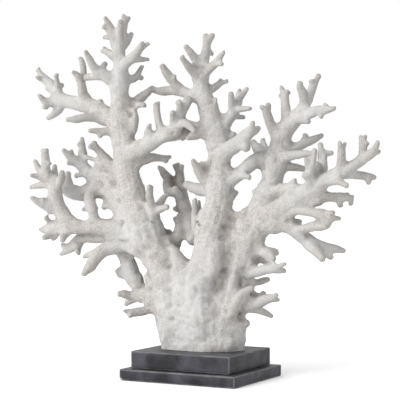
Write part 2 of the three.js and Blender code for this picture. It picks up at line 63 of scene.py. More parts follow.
# Each branch of a limb is a row of sections from its root to its tip: (across, up, deep, radius).
coralBranches = {
    "coral_trunk": [
        [(-22.5, 26, -8, 17), (-24.5, 60, -6, 20), (-28, 85, -4, 18), (-32, 105, -4, 15.5),
         (-42, 122, -3, 16.5), (-54, 140, 0, 19)],
        [(2, 24, 4, 20), (2, 60, 8, 20), (-2, 82, 10, 17), (2, 100, 14, 16), (6, 115, 14, 16),
         (9, 130, 12, 15), (9, 150, 10, 16)],
        [(-14, 78, -2, 12), (-14, 104, 0, 11), (-14, 114, 0, 8)],
        [(40, 146, 4, 9), (40, 157.5, 4, 8), (38, 162.5, 4, 6)],
        [(25.5, 26, -6, 17), (26.5, 60, -8, 17), (36, 88, -6, 17), (39, 105, -4, 15), (42, 120, -2, 15),
         (47, 135, 0, 17), (52, 150, 2, 18)],
        [(2, 28, -24, 20), (4, 65, -22, 19), (8, 95, -16, 18), (8, 120, -8, 12)],
        [(28, 125, 4, 9), (28, 140, 6, 7), (27, 155.5, 6, 8)],
        [(-30, 120, -4, 12), (-38, 134, -2, 11)],
        [(30, 64, 12, 7), (38, 79, 14, 5), (46, 87, 14, 4), (52, 90, 14, 3)],
    ],
    "low_left_lower_limb": [
        [(-30, 70, 0, 8), (-44, 69, 2, 6), (-53, 67.5, 6, 4.5), (-62, 66, 12, 4.5), (-69, 64.5, 18, 4.2),
         (-70, 61.8, 20, 2.3)],
        [(-66, 66, 14, 4), (-72, 67, 20, 2.2), (-76, 67, 24, 1.3)],
    ],
    "low_left_fork_limb": [
        [(-38, 82, -4, 11), (-52, 82, -3, 8.5), (-62, 83, -2, 7.5), (-70, 82.5, 2, 4.5), (-77, 84, 8, 3.9),
         (-81.5, 84.3, 12, 2)],
        [(-63, 81, -2, 5), (-71, 77, -6, 3.8), (-74, 73.5, -10, 2)],
        [(-50, 81, -6, 8), (-59, 89, -10, 7), (-65, 98, -12, 9.5), (-69, 106, -12, 8.5),
         (-71.5, 115, -12, 8), (-77, 124, -10, 6), (-80, 130, -8, 5)],
        [(-73, 103, -12, 6), (-80, 105, -8, 4.5), (-83, 107, -4, 1.8)],
    ],
    "lower_left_limb": [
        [(-56, 132, -2, 14), (-75, 134, -2, 9), (-90, 130, 2, 8), (-99, 126, 8, 7), (-105, 119, 12, 6.5),
         (-109.5, 112, 16, 6.3), (-114, 106.5, 20, 4.4), (-116.5, 103, 22, 2)],
        [(-102, 126, 8, 4), (-110, 123.5, 4, 3), (-115.5, 121.5, 0, 1.8)],
    ],
    "mast": [
        [(-54, 146, 0, 19), (-59, 160.5, 0, 17), (-65, 175.5, -1, 15), (-72, 199.5, -2, 12.6),
         (-75, 219.5, 0, 12), (-77, 239.5, 2, 11.7), (-78.5, 255.5, 3, 11.5), (-79.5, 267.5, 4, 10.5),
         (-80, 279.5, 5, 9.3), (-80.5, 289.5, 6, 9.8), (-79.5, 300.5, 7, 8.8), (-79.5, 311.5, 8, 7.4),
         (-81, 320.5, 8, 6.4), (-81, 329.5, 9, 5.7)],
        [(-70, 238.5, 2, 4), (-67, 247.5, 4, 4), (-65.5, 257.5, 6, 4.5), (-67, 267.5, 6, 3.5)],
        [(-47, 160.5, 8, 5), (-48.5, 172, 12, 4.2), (-50.5, 181.5, 17, 3.8), (-50, 190, 22, 2.8)],
        [(-47, 160.5, 4, 6), (-43.5, 169, 3, 6), (-39.5, 175.5, 0, 4.2), (-36, 180.5, -3, 2.7),
         (-33, 183, -6, 1.8)],
        [(-43.5, 167, 6, 5), (-37.5, 170, 12, 3.2), (-32.5, 171, 17, 2.2)],
        [(-65, 216.5, -2, 9), (-55, 219.5, -5, 6.3), (-47, 220.5, -9, 4.4), (-40, 220, -14, 3.4),
         (-33.5, 220, -18, 2.8), (-30, 221.5, -20, 1.6)],
        [(-74, 266.5, 4, 6), (-66, 274, -4, 5.4), (-58, 281, -10, 4.8), (-52, 286, -14, 3.8),
         (-47.5, 291, -18, 1.9)],
        [(-66, 273.5, -2, 3.2), (-60, 273.5, 4, 2.6), (-56, 273, 8, 2)],
        [(-76, 297.5, 4, 5.5), (-68, 299, -3, 4), (-62.5, 301, -9, 3), (-58, 300, -13, 1.8)],
        [(-63.5, 301.5, -8, 2.6), (-61, 306, -6, 2.3), (-58, 311.5, -4, 1.7)],
        [(-74, 203.5, -6, 7), (-74, 211.5, -24, 4.6), (-72, 220.5, -38, 3), (-71, 226.5, -46, 1.8)],
        [(-78, 250.5, -4, 6), (-79, 257.5, -20, 4), (-77, 265.5, -32, 2)],
        [(-80.5, 289.5, 0, 5), (-81, 296.5, -12, 3.4), (-81, 303.5, -22, 1.8)],
        [(-80, 245.5, 4, 8), (-91, 246.5, 10, 4.6), (-101, 247, 16, 3.3), (-110.5, 247.5, 22, 1.8)],
        [(-81, 316.5, 8, 4.5), (-89, 323.5, 2, 3.6), (-94.5, 327, -4, 2.9), (-98, 326.5, -8, 1.4)],
        [(-78, 311, 8, 5.5), (-70.5, 318, 15, 5), (-64, 324, 20, 4.2), (-60, 330, 24, 3.4),
         (-57.5, 335, 27, 1.9)],
        [(-67, 318.5, 17, 4), (-59, 318.5, 12, 2.7), (-51.5, 318.5, 7, 1.4)],
        [(-60.5, 327.5, 22, 2.8), (-55.5, 332, 20, 2.2), (-52, 334.5, 18, 1.8)],
    ],
    "far_left_limb": [
        [(-58, 146, 0, 17), (-75, 149, 0, 11), (-90, 150, 2, 8.5), (-105, 151, 4, 7.2), (-120, 151, 6, 7),
         (-131, 156.5, 7, 8), (-139, 167, 8, 7.6), (-144, 177.5, 8, 7.5), (-145, 189.5, 8, 7),
         (-146, 198.5, 8, 6.5)],
        [(-72, 143, -2, 9), (-88, 141, -5, 6.5), (-104, 140.5, -8, 5.6), (-116, 141, -10, 6),
         (-122, 138, -13, 5), (-130, 131.5, -18, 3.8), (-136.5, 132, -22, 2.4)],
        [(-126, 131, -16, 4.2), (-133, 127.5, -22, 3.4), (-138.5, 124, -28, 1.8)],
        [(-120, 137, -13, 5), (-122, 130, -8, 3.4), (-122, 125.5, -4, 2.4)],
        [(-122, 151.5, 6, 7.5), (-138, 152, 4, 7.6), (-149, 150, 0, 6.2), (-156, 148.5, -4, 3.8),
         (-159.5, 148.5, -6, 1.8)],
        [(-146, 148, 2, 4.5), (-152, 142.5, 8, 3.8), (-156.5, 140, 14, 2)],
        [(-142, 148, 4, 4.5), (-145.5, 142, 0, 3.6), (-147, 139, -4, 2)],
        [(-132, 148, 6, 5), (-136.5, 141.5, 12, 3.6), (-137.5, 137.5, 16, 2.6)],
        [(-146, 152.5, 2, 4), (-151, 156.5, 8, 2.8), (-154.5, 160.5, 12, 2)],
        [(-141.5, 169.5, 8, 8), (-149, 171.5, 12, 6.5), (-157, 174.5, 17, 5.4), (-163, 177, 22, 3.6),
         (-168.5, 180.5, 26, 1.8)],
        [(-145, 193.5, 8, 6), (-151, 200.5, 11, 5.2), (-154, 208.5, 14, 4.6), (-154.5, 217.5, 17, 4),
         (-155, 226, 20, 3.6)],
        [(-152, 202.5, 11, 4), (-159, 206.5, 6, 3.2), (-162.5, 211.5, 2, 2.8), (-165, 217, -2, 1.8)],
        [(-150, 197.5, 10, 5), (-158, 200.5, 14, 3.8), (-164, 202, 18, 2.6), (-169, 202.5, 22, 1.6)],
        [(-146, 193.5, 8, 6), (-156, 193.5, 4, 3.6), (-164, 192, 0, 2.3), (-169, 191, -3, 1.4)],
        [(-144, 195.5, 6, 4.5), (-145.5, 205.5, 0, 3), (-145, 212.5, -4, 1.5)],
        [(-142, 192.5, 8, 4.5), (-138.5, 199.5, 14, 3.6), (-138, 205.5, 18, 2.8)],
        [(-70, 160.5, -4, 8), (-86, 154.5, -2, 6), (-98, 154.5, 2, 5)],
    ],
    "left_mid_limb": [
        [(-62, 158.5, -4, 15), (-74, 172.5, -8, 15), (-83, 187.5, -10, 13), (-90, 199.5, -12, 9.5),
         (-100, 202.5, -14, 8), (-108, 203.5, -16, 7)],
        [(-76, 191.5, -8, 11), (-82, 204.5, -11, 9), (-90, 214.5, -10, 5.8), (-98, 223.5, -5, 4.2),
         (-103.5, 230, 0, 3.4), (-106.5, 235.5, 4, 2)],
        [(-101, 204.5, -14, 7), (-99, 212.5, -11, 6.5), (-96, 217.5, -9, 4.5)],
        [(-102, 228.5, -1, 3), (-107, 230.5, 4, 2.2), (-110.5, 231.5, 7, 1.6)],
        [(-98, 222.5, -6, 2.6), (-105, 218.5, -12, 1.8), (-112, 220.5, -17, 1.8), (-117, 221.5, -22, 2)],
        [(-104, 201.5, -16, 7), (-113, 205.5, -20, 6), (-118, 213.5, -23, 4.6), (-117.5, 224.5, -28, 4.4),
         (-117.5, 232.5, -32, 3), (-118, 239.5, -36, 1.7)],
        [(-114, 208.5, -20, 6), (-123, 216, -17, 5.4), (-131, 222.5, -12, 3.8), (-136.5, 228, -8, 2)],
        [(-107, 201.5, -16, 3.5), (-117, 203, -22, 2.4), (-124, 202.5, -26, 1.8)],
        [(-78, 183.5, -10, 9), (-92, 186.5, -14, 9), (-104, 188.5, -17, 9), (-118, 184.5, -22, 8),
         (-130, 187.5, -26, 7.5), (-133, 196.5, -29, 5.5), (-132, 204.5, -32, 2.8)],
        [(-107, 189.5, -10, 5), (-110, 179.5, -2, 6), (-108, 171, 2, 5), (-106.5, 163, 4, 5),
         (-105, 155.5, 4, 5.5)],
        [(-88, 182.5, -12, 5), (-94, 175.5, -8, 3.6), (-95.5, 170, -4, 2.6)],
        [(-93, 193.5, -16, 7), (-95, 198.5, -34, 4.8), (-92, 204.5, -50, 2)],
        [(-95, 197.5, -32, 3.6), (-101, 196.5, -46, 2)],
    ],
    "mast_crown": [
        [(-81, 325.5, 8, 6), (-83.5, 334.5, 10, 6), (-87, 342.5, 13, 5.2), (-90.5, 350.5, 16, 4.2),
         (-93, 356.5, 18, 2.8), (-95, 360.5, 20, 1.7)],
        [(-88, 345.5, 14, 3.5), (-93, 349.5, 18, 2.4), (-96.5, 351.5, 22, 1.7)],
        [(-84, 338.5, 11, 3.5), (-90, 340.5, 6, 2.4), (-95.5, 341, 1, 1.8)],
        [(-80, 331.5, 9, 5), (-79, 341.5, 6, 5), (-77, 350.5, 3, 4.4), (-75.5, 357.5, 0, 3),
         (-76.5, 362, -2, 1.7)],
        [(-76, 353.5, 2, 3), (-72.5, 358, -2, 2), (-71, 360, -4, 1.6)],
        [(-80, 335.5, 10, 4), (-80, 346.5, 15, 3.4), (-79, 356.5, 19, 2.6)],
        [(-80, 327.5, 8, 4), (-74.5, 333.5, 3, 3), (-70.5, 339.5, -2, 2.5), (-68.5, 345, -6, 1.4)],
    ],
    "mast_left_twigs": [
        [(-80, 291.5, 7, 7), (-88, 297.5, 10, 6.5), (-95, 302.5, 13, 6), (-101, 305, 15, 5.8),
         (-107, 312, 20, 4), (-111, 319.5, 24, 3.3), (-114.5, 326.5, 28, 1.8)],
        [(-97, 304.5, 13, 4.5), (-96.5, 311.5, 9, 2.8), (-95, 314.5, 5, 2.3)],
        [(-97, 301.5, 13, 4.5), (-106, 301.5, 11, 3.6), (-114, 300.5, 10, 3.1)],
    ],
    "upper_left_limb": [
        [(-80, 250.5, 2, 9), (-90, 260.5, -4, 8.5), (-100, 267, -8, 8.2), (-112, 272, -12, 8),
         (-125, 275.5, -16, 7), (-136, 277.5, -19, 7), (-143, 281.5, -22, 6.8)],
        [(-111, 274.5, -12, 6), (-117, 283.5, -8, 5), (-118, 291.5, -5, 4.4), (-120, 299, -1, 3.8),
         (-124, 304, 2, 2.8), (-127, 306, 4, 1.6)],
        [(-118, 295.5, -4, 3.5), (-116.5, 306.5, -10, 3), (-117.5, 314, -14, 2.8), (-119, 319.5, -17, 1.8)],
        [(-142, 281.5, -22, 6), (-147, 290, -26, 5.6), (-152.5, 296.5, -30, 4.6), (-158, 302.5, -33, 3),
         (-162, 308.5, -36, 1.7)],
        [(-154, 296.5, -31, 3.2), (-159, 299, -26, 2.4), (-163.5, 300.5, -22, 1.5)],
        [(-141, 284.5, -22, 4), (-143, 295.5, -16, 2.5), (-144, 303.5, -12, 1.6)],
        [(-142, 278.5, -21, 6), (-150, 276, -17, 5), (-155, 277, -13, 3.8), (-159, 280.5, -9, 2.6),
         (-160.5, 283, -7, 1.5)],
        [(-137, 275.5, -20, 5), (-142, 268, -26, 4.3), (-147, 263, -30, 3), (-152, 260, -34, 1.9)],
        [(-96, 258.5, -4, 7), (-106, 260.5, 3, 4.5), (-115, 260.5, 9, 3.8), (-124, 259, 14, 3.6),
         (-133, 258.5, 19, 1.8)],
    ],
    "mast_right_limb": [
        [(-72, 224.5, 2, 11), (-60, 229, 8, 9.5), (-50, 234.5, 12, 7.8), (-41, 240, 14, 7),
         (-32, 244, 15, 7.2), (-25, 249, 15, 6.8), (-21, 261.5, 12, 5.6), (-16, 270.5, 9, 5),
         (-11.5, 278.5, 6, 4.6)],
        [(-53, 236, 12, 5.5), (-52, 244.5, 16, 4), (-50.5, 252.5, 20, 2)],
        [(-37, 244.5, 14, 4.5), (-41, 254.5, 8, 3.7), (-43, 264.5, 3, 3.3), (-43.5, 272, 0, 3)],
        [(-28, 250.5, 16, 3.6), (-27.5, 258.5, 21, 2.7), (-27.5, 265.5, 25, 2.2)],
        [(-21, 261.5, 12, 3.6), (-20, 269.5, 17, 3.2), (-21, 276.5, 21, 2.6)],
        [(-24, 251, 14, 4.5), (-16, 255, 19, 3.8), (-10.5, 252, 23, 4), (-5.5, 247, 27, 2.2)],
        [(-31, 244, 8, 8), (-20, 245.5, 2, 7.2), (-12, 245, -6, 5.8), (-7, 244.5, -10, 3.6)],
    ],
    "centre_limb": [
        [(10, 146, 10, 17), (13, 158.5, 9, 16), (17.5, 170, 7, 14), (19, 184.5, 5, 13),
         (19.5, 199.5, 4, 12), (19.5, 213.5, 2, 11), (19, 225.5, 0, 11.5), (16.5, 239.5, -2, 12),
         (13.5, 251.5, -4, 11.2), (9.5, 264.5, -6, 10.8), (7, 273.5, -7, 10), (3, 283.5, -8, 8.3),
         (0.5, 293.5, -8, 7.6), (0.5, 302.5, -8, 8)],
        [(12, 245.5, 0, 8), (2, 245.5, 6, 6.6), (-7, 242, 13, 4.4), (-12.5, 239.5, 18, 1.9)],
        [(10, 214.5, 8, 3), (1, 214.5, 15, 2)],
        [(10, 193, 8, 7), (2, 202, 14, 5.4), (-3, 210, 19, 4.4), (-7, 217, 24, 2.3)],
        [(12, 187.5, 2, 8), (1, 188.5, -5, 6.2), (-7, 190.5, -12, 5), (-13.5, 193.5, -18, 3.8)],
        [(-2, 148, 6, 7), (-5, 160.5, 0, 3.6), (-5, 170, -4, 2.6), (-5.5, 177.5, -8, 1.8)],
        [(4, 148, 0, 6), (1.5, 156.5, -6, 2.6), (-0.5, 168, -13, 1.9), (-1.5, 176.5, -19, 1.5)],
        [(26, 150, 6, 8), (26.5, 164, 6, 7)],
        [(30, 181.5, 2, 6), (36, 185.5, -4, 2.8)],
        [(18, 193.5, -6, 7), (18, 203.5, -24, 4.8), (20, 213.5, -38, 3.2), (20, 220.5, -46, 1.8)],
        [(18, 203.5, -24, 3.6), (13, 212.5, -38, 2)],
        [(16, 236.5, -10, 7), (16, 245.5, -26, 4.4), (14, 255.5, -38, 2)],
        [(25, 235.5, -2, 6), (34, 243.5, -8, 3.2)],
        [(4, 283.5, -10, 6), (12, 289, -17, 4), (18, 293, -23, 3.2), (21.5, 298, -27, 1.5)],
        [(18, 293, -23, 2.6), (23, 295.5, -20, 2), (27, 296.5, -17, 1.5)],
    ],
    "centre_crown": [
        [(0.5, 299.5, -8, 8.6), (1, 308.5, -7, 7), (3, 316.5, -6, 6), (5.5, 325.5, -9, 4.4),
         (6.5, 334, -13, 3.8), (5, 342.5, -17, 2)],
        [(7, 333.5, -13, 3.2), (10, 339, -17, 2.8), (13, 343, -20, 1.9)],
        [(0.5, 311.5, -6, 5.5), (-4.5, 319, 0, 4.3), (-10, 326, 6, 3.4), (-14.5, 331.5, 10, 2.2)],
        [(-1, 301.5, -5, 6.5), (-8, 307.5, 4, 4.2), (-13, 313.5, 12, 3.3), (-18.5, 320.5, 20, 2)],
        [(3, 303.5, -8, 5.5), (11.5, 311, -2, 4.2), (17, 316.5, 4, 3.4), (20, 321, 8, 2.8),
         (23.5, 325.5, 12, 1.7)],
        [(17, 314.5, 3, 2.6), (22, 313.5, 10, 1.6)],
    ],
    "centre_left_limb": [
        [(0, 279.5, -8, 7), (-9, 283, -11, 5.8), (-18, 286.5, -14, 5), (-28, 287.5, -17, 4.5),
         (-38, 287, -20, 4.3), (-44.5, 287.5, -22, 3)],
        [(-17, 286.5, -14, 4.8), (-27, 296.5, -8, 4.5), (-33.5, 305, -2, 4), (-37.5, 312, 3, 2.8)],
    ],
    "right_limb": [
        [(46, 138, 0, 18), (53, 152.5, 0, 17), (60, 167.5, -2, 14.5), (68, 184.5, -5, 12.8),
         (72.5, 197.5, -7, 10.8), (75, 211.5, -9, 11.5), (77.5, 224.5, -11, 11), (80, 235.5, -12, 10),
         (83.5, 245.5, -13, 9.5), (89, 253, -14, 9), (96, 260.5, -14, 8.6), (102, 266.5, -13, 7.6)],
        [(71, 207, -10, 10), (65, 217, -16, 6.6), (58.5, 227, -21, 5.2), (53, 235.5, -24, 3.2)],
        [(68, 223, -20, 3.4), (62.5, 237.5, -32, 2.2)],
        [(77, 239.5, -11, 6.5), (72, 250.5, -6, 4.8), (68, 261.5, 0, 4.3), (65, 268.5, 4, 3.4),
         (61, 271, 7, 1.8)],
        [(67, 264.5, 1, 3.6), (68.5, 273, -3, 2.4)],
        [(85, 250.5, -14, 7), (86.5, 261.5, -19, 5.2), (85.5, 272.5, -25, 4.3), (84.5, 282.5, -30, 3.8),
         (81.5, 290, -34, 2)],
        [(84.5, 280.5, -29, 3.4), (87.5, 286.5, -26, 2.1)],
        [(73, 198.5, -14, 7), (74, 208.5, -32, 4.6), (77, 218.5, -46, 2.2)],
        [(74, 207.5, -31, 3.6), (70, 215.5, -46, 2)],
        [(79, 219.5, -10, 9), (88, 225.5, -13, 6.4), (96, 230, -18, 4.8), (105, 234.5, -23, 4.2),
         (114, 238.5, -28, 3.5), (122, 242.5, -33, 1.9)],
        [(104, 236, -23, 3.4), (105.5, 243, -20, 1.8)],
        [(82, 220.5, -8, 6.5), (92, 222.5, -3, 4.6), (102, 224, 3, 3.6), (112.5, 224.5, 9, 2.3)],
        [(78, 210.5, -8, 7), (87, 211, -13, 4.4), (96, 210.5, -18, 3.8), (105, 209, -24, 2.6)],
    ],
    "centre_right_upper_limb": [
        [(16, 246.5, -4, 10), (25, 254.5, -8, 7), (30.5, 262, -11, 5.6), (34.5, 269.5, -14, 5.4),
         (37.5, 276.5, -17, 4.7), (39.5, 285.5, -21, 2.6), (39.5, 288, -22, 1.6)],
        [(38, 277.5, -17, 3.6), (43, 284, -12, 2.6), (47, 289.5, -8, 1.8)],
        [(32, 264.5, -12, 4), (31.5, 275.5, -6, 3.3), (31, 284.5, -1, 2.6)],
        [(35, 268.5, -13, 3.6), (43, 269, -7, 2.7), (50, 269.5, -2, 1.8)],
        [(31, 261, -11, 3), (38, 261, -18, 2.2), (44, 261, -23, 1.5)],
    ],
    "centre_right_middle_limb": [
        [(19, 221.5, 3, 11), (29, 228.5, 9, 8.6), (37, 234.5, 14, 7.4), (44, 240.5, 18, 6.6),
         (50, 246.5, 21, 5.6), (53, 255.5, 25, 2.2)],
        [(50, 244.5, 20, 4.6), (55.5, 247, 17, 3.3), (59, 250, 15, 2)],
        [(39, 235.5, 14, 5.6), (46.5, 230.5, 18, 4.4)],
    ],
    "centre_right_lower_limb": [
        [(21, 193.5, 3, 10), (32, 200, 3, 7.8), (42, 206.5, 1, 7), (51, 214, -2, 7), (60, 220.5, -6, 7)],
        [(40, 203.5, 4, 5), (49.5, 201, 12, 2)],
    ],
    "rear_limb": [
        [(-6, 140, -14, 8), (-12, 156.5, -20, 8), (-14.5, 166, -28, 7.3), (-17.5, 177.5, -35, 6.8),
         (-19, 187.5, -38, 6), (-20, 195.5, -40, 4.8), (-20, 203.5, -42, 4), (-22, 214, -45, 1.9)],
        [(-20, 202.5, -42, 3), (-18, 212, -38, 1.9)],
        [(-20, 203.5, -42, 2.8), (-26, 213, -47, 1.5)],
        [(-18, 190.5, -38, 5), (-27, 196, -43, 4.6), (-34, 202.5, -48, 4.3), (-38, 208, -52, 3),
         (-40.5, 210.5, -54, 1.8)],
        [(-17, 175.5, -33, 5), (-22, 183.5, -26, 4.2), (-25, 189.5, -21, 3)],
        [(-13.5, 163, -26, 4.5), (-19.5, 167, -32, 3), (-25.5, 169.5, -38, 2)],
        [(-30, 120, -10, 8), (-25, 134, -12, 6.5), (-21.5, 148, -14, 4.6), (-19, 160.5, -20, 5)],
        [(-20, 158, -16, 3.6), (-25.5, 159, -12, 2.2)],
        [(-33, 136, -12, 6), (-32, 146.5, -18, 3.6)],
    ],
    "right_crown": [
        [(99, 263.5, -13, 7.4), (104, 274.5, -8, 5.2), (103.5, 283.5, -2, 4.6), (100, 291, 3, 3.3),
         (99.5, 295.5, 6, 2.3)],
        [(103, 269.5, -11, 6), (108, 279, -15, 4.8), (111.5, 287.5, -19, 4.2), (114, 294, -22, 3.6),
         (119.5, 302.5, -26, 1.9)],
        [(113, 291.5, -21, 3.4), (112, 297.5, -17, 1.8)],
        [(98, 262.5, -12, 8), (110, 265.5, -5, 5.6), (119, 267.5, 3, 4.8), (127.5, 268, 9, 3.2),
         (134, 269.5, 14, 1.9)],
        [(94, 259.5, -12, 7), (103, 258.5, -2, 4.2), (108.5, 256.5, 4, 2.2)],
    ],
    "far_right_limb": [
        [(50, 150, 6, 15), (62, 160.5, 8, 11.5), (72.5, 165.5, 10, 9.5), (84, 172.5, 12, 9.6),
         (95, 179.5, 13, 10.8), (108, 185.5, 13, 9.6), (120, 194, 14, 8), (131, 201.5, 15, 6.8),
         (141, 206.5, 16, 6.2), (152, 211.5, 16, 5.6), (160, 217, 15, 5.6), (165, 221, 14, 5.2)],
        [(66, 186.5, -2, 9), (78, 189, 2, 6), (90, 189, 6, 5.6), (101, 187.5, 10, 6)],
        [(86, 189.5, 6, 3.5), (91, 194, 12, 2.6), (95, 197.5, 16, 2)],
        [(118, 195.5, 13, 5.5), (122, 204.5, 7, 5.2), (122.5, 214.5, 2, 4.9), (121.5, 224.5, -3, 3.8),
         (120.5, 234, -8, 2.2)],
        [(103, 186, 14, 7), (109, 194, 20, 4.6), (110, 204, 24, 4), (113, 216, 28, 3), (115, 228, 31, 2)],
        [(163, 219.5, 14, 4.6), (163, 228.5, 7, 3.9), (162.5, 236.5, 1, 3.4), (160.5, 241, -3, 1.8)],
        [(162.5, 235.5, 2, 2.8), (165, 242, 5, 1.6)],
        [(164, 219.5, 14, 5), (171, 224.5, 20, 4.5), (175.5, 230, 24, 2.8), (178, 236, 28, 1.6)],
        [(171, 224.5, 20, 3), (179, 226.5, 15, 1.9)],
        [(140, 205.5, 16, 5.2), (141, 216.5, 22, 4.3), (141.5, 226.5, 28, 3.8), (139.5, 235.5, 33, 1.8)],
        [(141.5, 226.5, 28, 3), (145, 234.5, 25, 1.6)],
        [(136, 203.5, 15, 5.5), (150, 204, 9, 4.7), (161, 202.5, 3, 4), (170, 201.5, -2, 3.1),
         (175, 200.5, -6, 1.9)],
        [(126, 196.5, 15, 5.5), (138, 197, 21, 3.8), (147, 192, 27, 1.9)],
        [(112, 183.5, 12, 8.5), (122, 182, 8, 6.2), (132, 181, 3, 4.6), (141, 181, -2, 4.4),
         (146, 180.5, -5, 3.6), (152, 180.5, -9, 1.9)],
        [(92, 168.5, 10, 7), (105, 173.5, 13, 5.8), (119, 177.5, 12, 5)],
        [(99, 181.5, 6, 7), (101, 185.5, -12, 4.6), (104, 189.5, -26, 2)],
        [(110, 203, 24, 3), (107.5, 212, 28, 2.6), (106.5, 219, 32, 2)],
        [(110, 198, 22, 3), (115, 206, 18, 2.8), (118, 215, 14, 2)],
    ],
    "far_right_low_limb": [
        [(60, 154.5, 6, 12), (74, 154.5, 6, 11), (88, 153, 4, 9), (98, 146, 2, 8), (107, 138.5, 0, 7.2),
         (117, 133.5, -3, 5.4), (127, 130.5, -7, 4.8), (136, 129, -11, 4.2), (144, 127, -15, 2.5)],
        [(108, 134, 0, 6.5), (115.5, 128, 6, 5.4), (120, 122.5, 10, 4.2), (122.6, 118.3, 14, 2.4)],
        [(121, 129, -5, 4.5), (127, 124.5, -11, 4), (131.3, 120.6, -16, 2.6)],
        [(92, 149, 4, 6), (103, 149, 10, 4.7), (114, 151.5, 15, 5.2), (123, 152, 19, 4.7),
         (127.5, 153.5, 22, 4)],
        [(84, 160.5, 10, 7), (93, 167.5, 14, 5.6), (104, 167, 18, 4.3), (115, 165, 22, 4.5),
         (124, 163, 25, 5.2), (128, 155.5, 24, 4.2)],
        [(125, 163.5, 25, 3.6), (133, 164.8, 29, 2.5)],
        [(127, 158.5, 25, 3.6), (134.5, 159.8, 22, 2.6), (139.6, 159.3, 19, 1.8)],
    ],
    "low_right_upper_limb": [
        [(44, 132, 0, 10), (56, 130, 3, 8), (65, 126, 8, 6.6), (71, 122.5, 12, 4.6),
         (73.5, 119.5, 15, 2.8)],
        [(67, 127, 8, 4.4), (74, 127, 4, 3), (77, 125, 1, 2)],
        [(56, 124, -3, 6), (62, 118.5, -12, 4.6), (68, 115.5, -18, 3)],
    ],
    "low_right_middle_limb": [
        [(40, 105, 0, 8), (54, 106, 5, 6), (65, 108.5, 10, 5), (75, 109.5, 15, 3.9), (80.5, 112.3, 18, 2.4),
         (84.8, 114.2, 20, 1.4)],
        [(74, 108, 15, 3.2), (80.5, 107.3, 12, 2.5), (84.8, 107.4, 9, 1.6)],
    ],
    "low_right_small_limb": [
        [(42, 94, -10, 8), (54, 95, -16, 4.4), (62, 97, -22, 3.4), (68.2, 98.6, -27, 2.2)],
    ],
    "low_right_lower_limb": [
        [(38, 73, -2, 10), (50, 74, 0, 8.5), (59, 76, 3, 6.5), (67, 78.6, 8, 4.8), (73.5, 80.6, 12, 3.8),
         (76.8, 83.5, 15, 1.6)],
        [(71, 79, 10, 3.4), (78.6, 78, 6, 1.6)],
        [(54, 78, -3, 6), (58, 82, -10, 3.4), (64.5, 84.6, -17, 1.9)],
        [(50, 71, -1, 6.5), (60, 67.5, -5, 3.9), (67, 64.3, -11, 2.9), (72, 61.3, -15, 1.6)],
    ],
    "back_left_limb": [
        [(-40, 118, -14, 12), (-46, 136, -36, 8.5), (-54, 153.5, -52, 6.5), (-60, 170.5, -62, 5),
         (-63, 186.5, -70, 2.4)],
        [(-53, 151.5, -50, 5), (-62, 159.5, -66, 4), (-68, 166.5, -80, 2)],
        [(-50, 144, -44, 5), (-46, 152.5, -62, 4), (-46, 160.5, -76, 2)],
        [(-60, 168.5, -60, 4), (-69, 178.5, -72, 3), (-73, 190.5, -78, 1.8)],
    ],
    "back_right_limb": [
        [(36, 106, -16, 13), (40, 124, -40, 9), (46, 142, -58, 7), (52, 158.5, -70, 5),
         (57, 173.5, -80, 2.4)],
        [(44, 136, -52, 5), (36, 148, -70, 4), (31, 155.5, -84, 2)],
        [(45, 139, -55, 5), (56, 141, -72, 4), (62, 147, -86, 2)],
        [(51, 155.5, -68, 4), (60, 160.5, -82, 2.8), (66, 168.5, -92, 1.6)],
    ],
    "back_low_limb": [
        [(5, 76, -28, 13), (5, 91, -52, 8.5), (8, 106, -68, 6), (10, 119, -80, 2.6)],
        [(4, 88, -48, 6), (-8, 99, -66, 4.4), (-15, 106, -80, 2)],
        [(6, 93, -52, 6), (20, 100, -68, 4.4), (27, 110, -80, 2)],
    ],
}

# Masses that round out the trunk, the skirt at its foot, the ridges on its front and a few webs.
coralBranches["coral_trunk"] += [
    [(0, 24, -7, 29), (0, 58, -6, 29), (1, 78, -3, 24), (2, 96, 2, 17)],
    [(-14, 60, 4, 18), (-16, 84, 7, 15), (-18, 104, 8, 12), (-23, 120, 6, 8), (-28, 128, 5, 6)],
    [(-23, 34, 3, 16), (-27, 62, 5, 16), (-32, 88, 5, 14), (-36, 106, 5, 14), (-43, 122, 4, 14)],
    [(21, 66, 2, 15), (23, 95, 1, 14), (26, 118, 2, 12), (29, 142, 3, 12)],
    [(14, 140, 14, 10), (13, 118, 21, 9.5), (11, 105, 23, 8), (6, 98, 21, 5), (2, 95, 20, 3)],
    [(42, 142, 2, 11), (38, 120, 6, 9.5), (33, 104, 8, 8), (30, 86, 9, 8), (26, 68, 10, 9), (20, 50, 10, 10)],
    [(31, 88, 12, 6), (34, 99, 15, 4.5), (36, 107, 16, 2.6)],
    [(20, 48, 8, 12), (28, 64, 9, 9), (36, 75, 10, 7.5), (45, 84, 11, 5.5)],
    [(30, 26, -2, 15), (30, 50, -1, 15), (29, 64, -2, 13)],
    [(-24, 33, 2, 16), (-10, 32, 9, 15), (8, 32, 12, 15), (27, 34, 5, 15)],
    [(-26, 34, -14, 14), (-10, 33, -26, 16), (12, 33, -28, 16), (29, 34, -16, 14)],
    [(-33, 44, 3, 9), (-20, 52, 12, 9), (-6, 60, 17, 8), (4, 72, 18, 8)],
    [(-33, 96, 2, 12), (-40, 114, 3, 13), (-50, 130, 3, 13)],
    [(-42, 96, 0, 7), (-50, 98, -2, 5.5), (-54, 103, -4, 3)],
]
coralBranches["rear_limb"] += [
    [(-25, 186, -24, 4), (-31, 187, -30, 5), (-33, 194, -36, 4.2), (-32, 201, -42, 3.4)],
]
coralBranches["centre_limb"] += [
    [(8, 250, 0, 7), (0, 250.5, 4, 4.8), (-8, 253.5, 7, 3.6), (-15, 256, 9, 2.8)],
]

